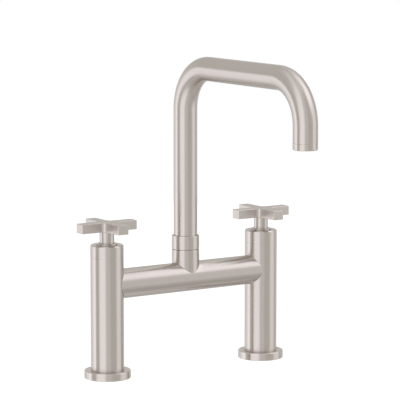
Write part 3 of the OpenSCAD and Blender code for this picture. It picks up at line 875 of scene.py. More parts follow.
def sweep(
    skin: Skin,
    rows: Sequence[Row],
    axis: Line | SpoutLine,
    windows: Sequence[Window] = (),
    relief: Relief | None = None,
    segments: int = SEGMENTS,
) -> None:
    """Turns an outline about a straight axis, or carries it along a bent one.

    Args:
        skin: the piece that takes the points and faces.
        rows: the sampled outline.
        axis: the axis.
        windows: the round holes through its walls.
        relief: how far the surface stands in from the outline at a height and turn, with both slopes.
        segments: the number of faces round the axis.
    """
    turns = np.arange(segments + 1) * 2 * math.pi / segments
    cos, sin, level = np.cos(turns), np.sin(turns), np.ones(segments + 1)
    numbers: list[list[int]] = []
    for row in rows:
        centre, first, second, along = axis.frame(row.up)
        out = level * row.out
        facing = np.array([row.facing_out * cos, row.facing_out * sin, row.facing_up * level])
        if relief and row.facing_out > 0.99:
            inset, by_up, by_turn = relief(row.up, turns)
            out = out - inset
            facing = facing + np.array([by_turn / out * -sin, by_turn / out * cos, by_up])
        lift = level * 0.0
        if row.saddle:
            lift = row.saddle.rise(out * cos)
            facing[0] = facing[0] - row.saddle.slope(out * cos) * facing[2]
        line = []
        for j in range(segments if row.out > TINY else 1):
            place = centre + out[j] * (cos[j] * first + sin[j] * second) + along * lift[j]
            outward = facing[0, j] * first + facing[1, j] * second + facing[2, j] * along
            line.append(skin.point(place, outward, (row.run, row.out * cos[j], row.out * sin[j]), row.edge))
        numbers.append(line + line[:1] if len(line) > 1 else line * (segments + 1))
    for i, (low, high) in enumerate(zip(rows, rows[1:])):
        if math.hypot(high.out - low.out, high.up - low.up) < TINY:
            continue
        inside = [w for w in windows if w.meets(low) and w.meets(high)]
        wide = max(low.out, high.out) * turns[1]
        for j in range(segments):
            if any(w.takes(j, segments) for w in inside):
                continue
            corners = [numbers[i][j], numbers[i][j + 1], numbers[i + 1][j + 1], numbers[i + 1][j]]
            near, far = j * wide, (j + 1) * wide
            laid = [(low.run, near), (low.run, far), (high.run, far), (high.run, near)]
            kept = [k for k in range(4) if corners[k] not in corners[:k]]
            skin.face([corners[k] for k in kept], [laid[k] for k in kept])
    for window in windows:
        bore(skin, rows, numbers, axis, window)


def bore(
    skin: Skin, rows: Sequence[Row], numbers: Sequence[Sequence[int]], axis: Line | SpoutLine, window: Window
) -> None:
    """Fills the wall in round a window's hole, and walls the hole between the two sides.

    Args:
        skin: the piece that takes the points and faces.
        rows: the sampled outline.
        numbers: the point numbers of each row.
        axis: the axis of the piece.
        window: the hole.
    """
    shares = (0.35, 0.7, 1.0)  # how far each ring lies on the way from the border to the hole
    hole_step = 0.4  # the run of the grain over one face round the hole
    segments = len(numbers[0]) - 1
    step = 2 * math.pi / segments
    middle, wide, half = window.turn_steps * step, window.wide_steps, window.half
    centre, first, second, along = axis.frame(window.up)
    sides: list[tuple[float, np.ndarray]] = []
    for way in (1, -1):
        walls = [i for i, row in enumerate(rows) if window.meets(row) and (row.facing_out > 0) == (way > 0)]
        walls.sort(key=lambda i: rows[i].up)
        columns = [window.turn_steps + k for k in range(-wide, wide + 1)]
        border = [(walls[0], j) for j in columns[:-1]] + [(i, columns[-1]) for i in walls[:-1]]
        border += [(walls[-1], j) for j in reversed(columns[1:])]
        border += [(i, columns[0]) for i in reversed(walls[1:])]
        ring = [numbers[i][j % segments] for i, j in border]
        turn = np.array([j * step - middle for _, j in border])
        rise = np.array([rows[i].up - window.up for i, _ in border])
        around = np.arctan2(rise / half, turn / (wide * step))
        out, base = rows[walls[0]].out, rows[walls[0]].run
        hole_turn, hole_rise = np.arcsin(window.radius * np.cos(around) / out), window.radius * np.sin(around)
        spread = [k * step * out for k in range(len(ring) + 1)]
        for share in shares:
            inner = []
            for t, r in zip(turn * (1 - share) + hole_turn * share, rise * (1 - share) + hole_rise * share):
                cos, sin = math.cos(middle + t), math.sin(middle + t)
                radial, grain = cos * first + sin * second, (base + way * (r + half), out * cos, out * sin)
                # The rim of the hole takes the lighter edge tone, partly rubbing and partly painted
                # highlight.
                place, wear_and_highlight = centre + out * radial + along * r, float(share == shares[-1])
                inner.append(skin.point(place, way * radial, grain, wear_and_highlight))
            skin.strip(ring + ring[:1], inner + inner[:1], (0.0, half / 3), spread, flip=way < 0)
            ring = inner
        sides.append((out, around))
    ahead = math.cos(middle) * first + math.sin(middle) * second
    sideways = -math.sin(middle) * first + math.cos(middle) * second
    lines = []
    for out, around in sides:
        line = []
        for a in around:
            across, rise = window.radius * math.cos(a), window.radius * math.sin(a)
            deep = math.sqrt(out**2 - across**2)
            facing = -(math.cos(a) * sideways + math.sin(a) * along)
            place = centre + ahead * deep + sideways * across + along * rise
            line.append(skin.point(place, facing, (deep, across, rise)))
        lines.append(line + line[:1])
    skin.strip(*lines, (0.0, sides[0][0] - sides[1][0]), [k * hole_step for k in range(len(lines[0]))])


@dataclass(frozen=True)
class Span:
    """Where a node of the frame stands, in millimetres."""

    low: np.ndarray
    high: np.ndarray

    @classmethod
    def of(cls, node: str) -> Span:
        """Reads a node's box from the frame."""
        low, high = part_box(node)
        return cls(np.array(low) / MM, np.array(high) / MM)

    @property
    def middle(self) -> np.ndarray:
        """The centre of the box."""
        return (self.low + self.high) / 2

    @property
    def bottom(self) -> float:
        """The lowest height."""
        return float(self.low[2])

    @property
    def top(self) -> float:
        """The greatest height."""
        return float(self.high[2])


def place_piece(
    skin: Skin, finish: bpy.types.Material, body: Body, nodes: Sequence[str]
) -> bpy.types.Object:
    """Makes a piece, sets it on its body and hides the nodes that it stands for.

    Args:
        skin: the piece's points and faces.
        finish: its material.
        body: the body that it rides on.
        nodes: the nodes of the frame that it replaces.

    Returns:
        The piece.
    """
    made = skin.build(finish)
    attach(made, body.value)
    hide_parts(*nodes)
    log.info("%s: %d faces on %s, for %s", made.name, len(made.data.polygons), body.value, ", ".join(nodes))
    return made


# Sub-assemblies


@dataclass
class Workshop:
    """The finishes, each made once and handed to whatever piece asks for it."""

    made: dict[str, bpy.types.Material] = field(default_factory=dict)

    def material(self, finish: Finish) -> bpy.types.Material:
        """Gives the material of a finish, and makes it the first time.

        Args:
            finish: the finish.

        Returns:
            Its one material.
        """
        if finish.name not in self.made:
            self.made[finish.name] = finish.make()
        return self.made[finish.name]


@dataclass
class SubAssembly:
    """What every sub-assembly has: the workshop that its pieces are dressed in. Sizes are in millimetres."""

    shop: Workshop

    def dress(self, skin: Skin, node: str, body: Body = Body.ROOT, finish: Finish = SATIN_NICKEL) -> None:
        """Makes a piece in its finish and sets it in the place of a node.

        Args:
            skin: the piece's points and faces.
            node: the node that it stands for.
            body: the body that it rides on.
            finish: its finish.
        """
        place_piece(skin, self.shop.material(finish), body, [node])

    def turn(
        self,
        name: str,
        node: str,
        corners: Sequence[Corner],
        axis: Line | SpoutLine,
        windows: Sequence[Window] = (),
        closed: bool = True,
        body: Body = Body.ROOT,
    ) -> None:
        """Turns a piece in satin nickel about its axis, or carries its outline along it.

        Args:
            name: the piece's own name.
            node: the node that it stands for.
            corners: the corners of its outline.
            axis: its axis.
            windows: the round holes through its walls.
            closed: whether the outline closes on itself.
            body: the body that it rides on.
        """
        skin = Skin(name)
        sweep(skin, trace(corners, closed), axis, windows)
        self.dress(skin, node, body)


@dataclass
class SidedAssembly(SubAssembly):
    """A sub-assembly of which each column has its own."""

    side: Side

    def node(self, part: str) -> str:
        """The frame's name for a part on this side."""
        return f"{self.side.value}_{part}"

    def span(self, part: str) -> Span:
        """Where a part on this side stands."""
        return Span.of(self.node(part))


@dataclass
class Column(SidedAssembly):
    """One upright column: flange, wall and cap, all turned and satin plated."""

    column_d: float = 36.2
    wall: float = 2.6
    flange_d: float = 50.8
    flange_floor: float = 3.0
    flange_round: float = 1.0
    shank_hole_d: float = 21.5
    gasket_d: tuple[float, float] = (42.1, 26.9)
    gasket_t: float = 1.5
    cap_chamfer: float = 1.0
    cap_ring: tuple[float, float] = (22.8, 1.5)
    cap_plate: float = 4.5
    cap_cavity_d: float = 26.0
    cap_skirt_d: float = 30.9
    hub_hole_d: float = 16.6
    nipple_hole_d: float = 15.1
    fit: float = 0.05

    def turned(self, name: str, part: str, corners: Sequence[Corner], windows: Sequence[Window] = ()) -> None:
        """Turns a piece about the column's own axis."""
        axis = Line.upright(self.span("column").middle)
        self.turn(self.node(name), self.node(part), corners, axis, windows)

    def flange(self) -> None:
        """Turns the flange, with the gasket's recess below and the column's socket above."""
        span = self.span("flange")
        low, top, rim = span.bottom, span.top, self.flange_d / 2
        hole, socket = self.shank_hole_d / 2, self.column_d / 2 + self.fit
        outer, inner = self.gasket_d[0] / 2, self.gasket_d[1] / 2
        recess, floor = low + self.gasket_t, low + self.flange_floor
        corners = [
            Corner(hole, low),
            Corner(inner, low),
            Corner(inner, recess, 0.1),
            Corner(outer, recess, 0.1),
            Corner(outer, low),
            Corner(rim, low, 0.7, steps=6),
            Corner(rim, top, self.flange_round, steps=8),
            Corner(socket, top, 0.35, steps=5),
            Corner(socket, floor, 0.1),
            Corner(hole, floor),
        ]
        self.turned("flange_turned", "flange", corners)

    def tube(self) -> None:
        """Turns the column's wall and bores it for the bridge's nipple."""
        span, outer, inner = self.span("column"), self.column_d / 2, self.column_d / 2 - self.wall
        towards = 0 if self.side is Side.HOT else SEGMENTS // 2
        hole = Window(towards, Span.of("bridge_tube").middle[2], self.nipple_hole_d / 2)
        corners = [
            Corner(inner, span.bottom),
            Corner(outer, span.bottom),
            *hole.levels(outer),
            Corner(outer, span.top, 0.22),
            Corner(inner, span.top, 0.15),
            *hole.levels(inner, downward=True),
        ]
        self.turned("column_turned", "column", corners, [hole])

    def cap(self) -> None:
        """Turns the cap: the shoulder with its chamfer, the ring round the hub's hole and the skirt below."""
        span, seam = self.span("column_cap"), self.span("column").top
        rim, hole, ring = self.column_d / 2, self.hub_hole_d / 2, self.cap_ring[0] / 2
        cavity, skirt = self.cap_cavity_d / 2, self.cap_skirt_d / 2
        ledge = span.top - self.cap_ring[1]
        roof = ledge - self.cap_plate
        corners = [
            Corner(cavity, span.bottom),
            Corner(skirt, span.bottom),
            Corner(skirt, seam, 0.1),
            Corner(rim, seam, 0.22),
            Corner(rim, ledge - self.cap_chamfer, 0.35),
            Corner(rim - self.cap_chamfer, ledge, 0.35),
            Corner(ring, ledge, 0.15),
            Corner(ring, span.top, 0.3, steps=5),
            Corner(hole, span.top, 0.3, steps=5),
            Corner(hole, roof),
            Corner(cavity, roof),
        ]
        self.turned("cap_turned", "column_cap", corners)

    def build(self) -> None:
        """Builds and dresses the column's pieces."""
        self.flange()
        self.tube()
        self.cap()


@dataclass
class CrossHandle(SidedAssembly):
    """One cross handle: a turned hub under a ground four-armed bar."""

    hub_d: float = 16.0
    bore_d: float = 8.1
    bore_top_gap: float = 2.95
    boss_d: float = 10.0
    boss_hole_d: float = 10.1
    boss_gap: float = 0.05
    set_screw_hole_d: float = 4.1
    arm_w: float = 12.7
    plan_fillet: float = 5.5
    tip_round: float = 0.55
    edge_round: float = 0.5

    @property
    def body(self) -> Body:
        """The body that the handle turns with."""
        return Body.HOT_HANDLE if self.side is Side.HOT else Body.COLD_HANDLE

    def hub(self) -> None:
        """Turns the hub with its bore, its boss and the hole for the set screw."""
        span, cross, screw = self.span("handle_hub"), self.span("handle_cross"), self.span("set_screw").middle
        wall, inner, boss = self.hub_d / 2, self.bore_d / 2, self.boss_d / 2
        ceiling = cross.bottom - self.bore_top_gap
        behind = SEGMENTS // 4 if screw[1] > cross.middle[1] else 3 * SEGMENTS // 4
        hole = Window(behind, screw[2], self.set_screw_hole_d / 2)
        corners = [
            Corner(0.0, ceiling),
            Corner(inner, ceiling, 0.1),
            *hole.levels(inner, downward=True),
            Corner(inner, span.bottom, 0.3),
            Corner(wall, span.bottom, 0.3),
            *hole.levels(wall),
            Corner(wall, cross.bottom, 0.12),
            Corner(boss, cross.bottom, 0.1),
            Corner(boss, span.top, 0.5),
            Corner(0.0, span.top),
        ]
        axis = Line.upright(cross.middle)
        self.turn(self.node("hub_turned"), self.node("handle_hub"), corners, axis, [hole], False, self.body)

    def plan(self, reach: float) -> list[Row]:
        """Draws the cross from above: four square arms with swept inner corners.

        Args:
            reach: half the span.

        Returns:
            The rows round the outline.
        """
        half = self.arm_w / 2
        tip = ((reach, -half, self.tip_round, 4), (reach, half, self.tip_round, 4))
        arm = (*tip, (half, half, self.plan_fillet, 14))
        corners = []
        for turn in (quarter * math.pi / 2 for quarter in range(4)):
            cos, sin = math.cos(turn), math.sin(turn)
            corners += [Corner(x * cos - y * sin, x * sin + y * cos, soft, steps=n) for x, y, soft, n in arm]
        return trace(corners)

    def cross(self) -> None:
        """Builds the cross with softened edges and the blind hole that the hub's boss screws into."""
        edge_steps, hole_steps = 5, 48
        hole_step = 0.66  # the run of the grain over one face round the hole
        span, soft = self.span("handle_cross"), self.edge_round
        middle = span.middle
        skin = Skin(self.node("cross_ground"))
        rows = self.plan((span.high[0] - span.low[0]) / 2)

        def on_flat(places: Sequence[np.ndarray], facing: np.ndarray) -> list[int]:
            """Adds points of a flat, where the belt ran along the bar that crosses the faucet."""
            return [skin.point(p, facing, (p[1] - middle[1], p[0] - middle[0], 0.0)) for p in places]

        lines: list[list[int]] = []
        runs: list[float] = []
        last: tuple[float, float] | None = None
        for start, first in ((span.bottom + soft, -1), (span.top - soft, 0)):
            for k in range(edge_steps + 1):
                lean = math.pi / 2 * (first + k / edge_steps)
                height, inset = start + soft * math.sin(lean), soft * (1 - math.cos(lean))
                run = runs[-1] + math.hypot(height - last[0], inset - last[1]) if last else 0.0
                line = []
                for row in rows[:-1]:
                    facing = np.array([row.facing_out, row.facing_up, 0.0])
                    place = np.array([middle[0] + row.out, middle[1] + row.up, height]) - facing * inset
                    # Rounded edges take the lighter edge tone, partly rubbing and partly painted highlight.
                    wear_and_highlight = 1.0 if row.edge > 0 or 0 < k < edge_steps else 0.0
                    outward = facing * math.cos(lean) + Z * math.sin(lean)
                    line.append(skin.point(place, outward, (run, row.run, 0.0), wear_and_highlight))
                lines.append(line + line[:1])
                runs.append(run)
                last = (height, inset)
        for n, (low, high) in enumerate(zip(lines, lines[1:])):
            skin.strip(low, high, (runs[n], runs[n + 1]), [row.run for row in rows])
        below, above = ([skin.points[n] for n in line[:-1]] for line in (lines[0], lines[-1]))
        skin.fill([on_flat(above, Z)], Z)
        turns = np.arange(hole_steps) * 2 * math.pi / hole_steps
        out = [self.boss_hole_d / 2 * np.array([math.cos(a), math.sin(a), 0.0]) for a in turns]
        foot = np.array([middle[0], middle[1], span.bottom])
        deep = self.span("handle_hub").top + self.boss_gap - span.bottom
        skin.fill([on_flat(below, -Z), on_flat([foot + o for o in out], -Z)], -Z)
        walls = []
        for height in (0.0, deep):
            wall = [skin.point(foot + Z * height + o, -o, (height, o[0], o[1])) for o in out]
            walls.append(wall + wall[:1])
        skin.strip(*walls, (0.0, deep), [k * hole_step for k in range(hole_steps + 1)], flip=True)
        skin.fill([on_flat([skin.points[n] for n in walls[1][:-1]], -Z)], -Z)
        self.dress(skin, self.node("handle_cross"), self.body, SATIN_NICKEL_FLAT)

    def build(self) -> None:
        """Builds and dresses the handle."""
        self.hub()
        self.cross()


@dataclass
class Bridge(SubAssembly):
    """The bridge between the columns, the post that it carries and the collar on the post."""

    bridge_d: float = 32.5
    wall: float = 2.25
    column_d: float = 36.2
    post_d: float = 30.5
    spigot_d: float = 24.0
    thread_d: float = 28.4
    socket_d: float = 19.8
    shoulder_gap: float = 1.0
    lip_d: float = 26.7
    lip_t: float = 3.0
    fit: float = 0.05

    def tube(self) -> None:
        """Sweeps the bridge from column to column, with saddled ends and the post's hole."""
        hot, cold = Span.of("hot_column").middle, Span.of("cold_column").middle
        length = float(cold[0] - hot[0])
        outer, inner = self.bridge_d / 2, self.bridge_d / 2 - self.wall
        near, far = (Saddle(self.column_d / 2 + self.fit, sign) for sign in (1, -1))
        hole = Window(SEGMENTS // 4, length / 2, self.spigot_d / 2 + self.fit, wide_steps=18)
        corners = [
            Corner(inner, 0.0, 0.1, near),
            Corner(outer, 0.0, 0.2, near, steps=5),
            Corner(outer, self.column_d),
            *hole.levels(outer),
            Corner(outer, length - self.column_d),
            Corner(outer, length, 0.2, far, steps=5),
            Corner(inner, length, 0.1, far),
            Corner(inner, length - self.column_d),
            *hole.levels(inner, downward=True),
            Corner(inner, self.column_d),
        ]
        axis = Line((hot[0], hot[1], Span.of("bridge_tube").middle[2]), first=Y, along=X)
        self.turn("bridge_swept", "bridge_tube", corners, axis, [hole])

    def post(self) -> None:
        """Turns the post: saddled on the bridge, with the collar's thread and the swivel's socket above."""
        span, collar, level = Span.of("spout_post"), Span.of("spout_collar"), Span.of("bridge_tube").middle[2]
        low, top, shoulder = span.bottom - level, span.top - level, collar.bottom - level - self.shoulder_gap
        wall, spigot = self.post_d / 2, self.spigot_d / 2
        socket, thread = self.socket_d / 2, self.thread_d / 2
        saddle = Saddle(self.bridge_d / 2 + self.fit, 1)
        corners = [
            Corner(socket, low),
            Corner(spigot, low),
            Corner(spigot, 0.0, 0.05, saddle),
            Corner(wall, 0.0, 0.2, saddle, steps=5),
            Corner(wall, shoulder, 0.3, steps=5),
            Corner(thread, shoulder, 0.1),
            Corner(thread, top),
            Corner(socket, top),
        ]
        axis = Line((collar.middle[0], collar.middle[1], level), first=Y)
        self.turn("post_turned", "spout_post", corners, axis)

    def collar(self) -> None:
        """Turns the collar that holds the spout down, with its lip round the tube."""
        span = Span.of("spout_collar")
        wall, thread, lip = self.post_d / 2, self.thread_d / 2 + self.fit, self.lip_d / 2
        corners = [
            Corner(thread, span.bottom),
            Corner(wall, span.bottom, 0.3, steps=5),
            Corner(wall, span.top, 0.35, steps=5),
            Corner(lip, span.top, 0.3, steps=5),
            Corner(lip, span.top - self.lip_t),
            Corner(thread, span.top - self.lip_t, 0.1),
        ]
        self.turn("collar_turned", "spout_collar", corners, Line.upright(span.middle))

    def build(self) -> None:
        """Builds and dresses the bridge's pieces."""
        self.tube()
        self.post()
        self.collar()


@dataclass
class Spout(SubAssembly):
    """The swivelling spout: one bent tube and the aerator's housing at its mouth."""

    tube_d: float = 26.1
    wall: float = 1.7
    bend: float = 46.8
    aerator_bore_d: float = 19.6
    aerator_thread_d: float = 22.6
    aerator_lip: tuple[float, float] = (0.8, 1.6)
    aerator_ring: float = 7.2

    def tube(self) -> None:
        """Sweeps the tube along its bent line."""
        span, mouth, post = Span.of("spout_tube"), Span.of("aerator_housing"), Span.of("spout_collar").middle
        outer, inner = self.tube_d / 2, self.tube_d / 2 - self.wall
        spring = span.top - outer - self.bend  # the height where both bends begin
        arm = float(post[1] - mouth.middle[1]) - 2 * self.bend
        drop = spring - mouth.bottom - self.aerator_ring
        line = SpoutLine((post[0], post[1], span.bottom), spring - span.bottom, self.bend, arm, drop)
        corners = [
            Corner(inner, 0.0),
            Corner(outer, 0.0),
            *[Corner(outer, stop) for stop in line.stops()],
            Corner(outer, line.length, 0.3, steps=5),
            Corner(inner, line.length),
            *[Corner(inner, stop) for stop in reversed(line.stops())],
        ]
        self.turn("spout_swept", "spout_tube", corners, line, body=Body.SPOUT)

    def housing(self) -> None:
        """Turns the aerator's housing: a plain ring, rounded below, with a lip that holds the insert."""
        span = Span.of("aerator_housing")
        rim, inner, thread = self.tube_d / 2, self.aerator_bore_d / 2, self.aerator_thread_d / 2
        lip, seat = inner - self.aerator_lip[0], span.bottom + self.aerator_lip[1]
        seam = span.bottom + self.aerator_ring
        corners = [
            Corner(lip, span.bottom, 0.4, steps=5),
            Corner(rim, span.bottom, 1.0, steps=8),
            Corner(rim, seam, 0.3, steps=5),
            Corner(thread, seam, 0.1),
            Corner(thread, span.top),
            Corner(inner, span.top),
            Corner(inner, seat, 0.1),
            Corner(lip, seat),
        ]
        axis = Line.upright(span.middle)
        self.turn("aerator_housing_turned", "aerator_housing", corners, axis, body=Body.SPOUT)

    def build(self) -> None:
        """Builds and dresses the spout's pieces."""
        self.tube()
        self.housing()


@dataclass
class DeckFixing(SidedAssembly):
    """What holds one column to the deck: the threaded shank and its lock nut."""

    thread_d: float = 20.9
    bore_d: float = 12.0
    pitch: float = 1.814
    depth: float = 1.1
    relief: tuple[float, float, float] = (20.0, 3.0, 19.0)
    shoulder: tuple[float, float] = (23.0, 8.0)
    end_chamfer: float = 0.5
    thread_gaps: tuple[float, float, float, float] = (0.8, 0.6, 0.6, 2.0)
    thread_segments: int = 64
    nut_af: float = 30.0
    nut_round: float = 0.5
    nut_fit: float = 0.05
    nut_chamfer: float = 0.6
    nut_soft: float = 0.3
    nut_countersink: float = 0.8
    nut_cone: float = math.tan(math.radians(30))

    def shank(self) -> None:
        """Turns the shank and cuts its two threads, for the supply's coupling and for the lock nut."""
        span, crest, inner = self.span("shank"), self.thread_d / 2, self.bore_d / 2
        coupling, relief_l, relief_d = self.relief
        wide, stop = self.shoulder[0] / 2, -self.shoulder[1]
        low, neck = span.bottom, span.bottom + coupling
        upper, narrow = neck + relief_l, relief_d / 2
        clear = self.thread_gaps
        # Both threads run out before the chamfered end, the relief and the shoulder.
        zones = [(low + clear[0], neck - clear[1]), (upper + clear[2], stop - clear[3])]

        def threads(up: float, turn: np.ndarray) -> tuple[np.ndarray, np.ndarray, np.ndarray]:
            """Cuts the thread at one height, and fades it in and out over a pitch.

            Args:
                up: the height.
                turn: the turns round the axis.

            Returns:
                The depth at each turn, and its slopes along and round the shank.
            """
            fade = 0.0
            for start, end in zones:
                if start <= up <= end:
                    fade = min(1.0, (up - start) / self.pitch, (end - up) / self.pitch)
            phase, deep = 2 * math.pi * up / self.pitch - turn, self.depth * fade
            wave = np.sin(phase) * deep / 2
            return deep * (0.5 - 0.5 * np.cos(phase)), wave * 2 * math.pi / self.pitch, -wave

        def levels(zone: tuple[float, float]) -> list[Corner]:
            """The rows that a thread needs, eight to a turn."""
            step = self.pitch / 8
            return [Corner(crest, zone[0] + k * step) for k in range(int((zone[1] - zone[0]) / step) + 1)]

        corners = [
            Corner(inner, low, 0.3),
            Corner(crest - self.end_chamfer, low, 0.1),
            Corner(crest, low + self.end_chamfer, 0.1),
            *levels(zones[0]),
            Corner(crest, neck, 0.15),
            Corner(narrow, neck, 0.3),
            Corner(narrow, upper, 0.3),
            Corner(crest, upper, 0.15),
            *levels(zones[1]),
            Corner(crest, stop, 0.2),
            Corner(wide, stop, 0.3),
            Corner(wide, 0.0, 0.3),
            Corner(crest, 0.0, 0.15),
            Corner(crest, span.top, 0.4),
            Corner(inner, span.top, 0.3),
        ]
        skin = Skin(self.node("shank_threaded"))
        axis = Line.upright(span.middle)
        sweep(skin, trace(corners, support=0.2), axis, relief=threads, segments=self.thread_segments)
        self.dress(skin, self.node("shank"), finish=CUT_BRASS)

    def hexagon(self) -> list[Row]:
        """Draws the nut from above, its flats cut into eight for the turned corners.

        Returns:
            The rows round the outline, with the first again at the end.
        """
        steps = 8
        tip, turns = self.nut_af / 2 / math.cos(math.pi / 6), [k * math.pi / 3 for k in range(6)]
        rows = trace([Corner(tip * math.cos(a), tip * math.sin(a), self.nut_round, steps=3) for a in turns])
        plan: list[Row] = []
        for a, b in zip(rows, rows[1:]):
            plan.append(a)
            for share in (k / steps for k in range(1, 1 if a.edge and b.edge else steps)):
                out, up = a.out + (b.out - a.out) * share, a.up + (b.up - a.up) * share
                plan.append(replace(a, out=out, up=up, run=a.run + (b.run - a.run) * share, edge=0.0))
        return [*plan, rows[-1]]

    def nut_end(self, skin: Skin, line: Sequence[int], middle: np.ndarray, end: float, way: int) -> list[int]:
        """Closes one end of the nut: the turned corners, the flat face and the countersink round the bore.

        Args:
            skin: the nut's points and faces.
            line: the numbers of the points along the end's outline.
            middle: the centre of the nut.
            end: the height of the face.
            way: 1 for the upper end and -1 for the lower.

        Returns:
            The numbers of the points round the bore.
        """
        face, hole = self.nut_af / 2 - self.nut_chamfer, self.thread_d / 2 + self.nut_fit
        # Each ring's radius, how far it faces outward, how deep it lies and how much it is lightened by
        # rubbing and painted highlight.
        rings = (
            (0.0, self.nut_cone, 0.0, 1.0),
            (face, self.nut_cone / 2, 0.0, 0.0),
            (face - self.nut_soft, 0.0, 0.0, 0.0),
            (hole + self.nut_countersink, 0.0, 0.0, 0.0),
            (hole, -1.0, self.nut_countersink, 1.0),
        )
        along = [row.run for row in self.hexagon()]
        before: list[int] = []
        for ring, (radius, outward, deep, wear_and_highlight) in enumerate(rings):
            found = []
            for n in line[:-1]:
                flatwise = (skin.points[n] - middle) * (X + Y)
                reach = float(np.linalg.norm(flatwise))
                radial = flatwise / reach
                place = skin.points[n]
                if ring:
                    place = (middle + radial * radius) * (X + Y) + Z * (end - way * deep)
                grain = (reach if ring < 2 else hole, place[0] - middle[0], place[1] - middle[1])
                found.append(skin.point(place, radial * outward + Z * way, grain, wear_and_highlight))
            found.append(found[0])
            if ring:
                skin.strip(before, found, (0.0, 1.0), along, flip=way < 0)
            before = found
        return before

    def nut(self) -> None:
        """Cuts the lock nut: a hexagon whose corners are turned back to a cone on both faces."""
        span, plan = self.span("lock_nut"), self.hexagon()
        middle, tall, along = span.middle, (0.0, span.top - span.bottom), [row.run for row in plan]
        ends = ((span.bottom, -1), (span.top, 1))
        skin = Skin(self.node("lock_nut_cut"))
        lines = []
        for end, way in ends:
            line = []
            for row in plan[:-1]:
                corner = math.hypot(row.out, row.up) - (self.nut_af / 2 - self.nut_chamfer)
                height = end - way * max(0.0, corner) * self.nut_cone
                place = np.array([middle[0] + row.out, middle[1] + row.up, height])
                facing = np.array([row.facing_out, row.facing_up, 0.0])
                line.append(skin.point(place, facing, (height, row.run, 0.0), row.edge))
            lines.append(line + line[:1])
        skin.strip(*lines, tall, along)
        walls = []
        for line, (end, way) in zip(lines, ends):
            wall = []
            for place in (skin.points[n] for n in self.nut_end(skin, line, middle, end, way)):
                inward = (middle - place) * (X + Y)
                wall.append(skin.point(place, inward, (place[2], -inward[0], -inward[1])))
            walls.append(wall)
        skin.strip(*walls, tall, along, flip=True)
        self.dress(skin, self.node("lock_nut"), finish=CUT_BRASS)

    def build(self) -> None:
        """Builds and dresses the shank and its nut."""
        self.shank()
        self.nut()


@dataclass
class Inside(SubAssembly):
    """The pieces whose shape is right as the frame has it, which take a finish of their own."""

    finishes: tuple[tuple[Finish, str], ...] = (
        (TURNED_BRASS, "column_plug valve_body cartridge spindle swivel_tail"),
        (LONG_BRASS, "bridge_nipple bridge_bush"),
        (DRAWN_COPPER, "supply_pipe"),
        (TUMBLED_STEEL, "steel_washer spindle_clip set_screw"),
        (LAPPED_CERAMIC, "fixed_disc turning_disc"),
        (MOULDED_ACETAL, "spout_retainer thrust_washer aerator_insert"),
        (MOULDED_RUBBER, "flange_gasket rubber_washer cartridge_seal seat_seal spindle_seals bridge_seals"),
        (MOULDED_RUBBER, "swivel_seals aerator_washer"),
    )

    def build(self) -> None:
        """Gives each node that still shows its finish."""
        finish_of = {part: finish for finish, parts in self.finishes for part in parts.split()}
        for name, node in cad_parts.items():
            if node.hide_render:
                continue
            finish = finish_of[name.removeprefix("hot_").removeprefix("cold_")]
            node.data.materials.clear()
            node.data.materials.append(self.shop.material(finish))
            log.info("%s: %s", name, finish.name)


# Studio


@dataclass(frozen=True)
class SoftBox:
    """One soft light, by where it stands from the camera's own direction. Angles in degrees."""

    name: str
    azimuth: float
    half_width: float
    low: float
    high: float
    strength: float
    tone: str = "#F6F6FF"
    feather: float = 5.0


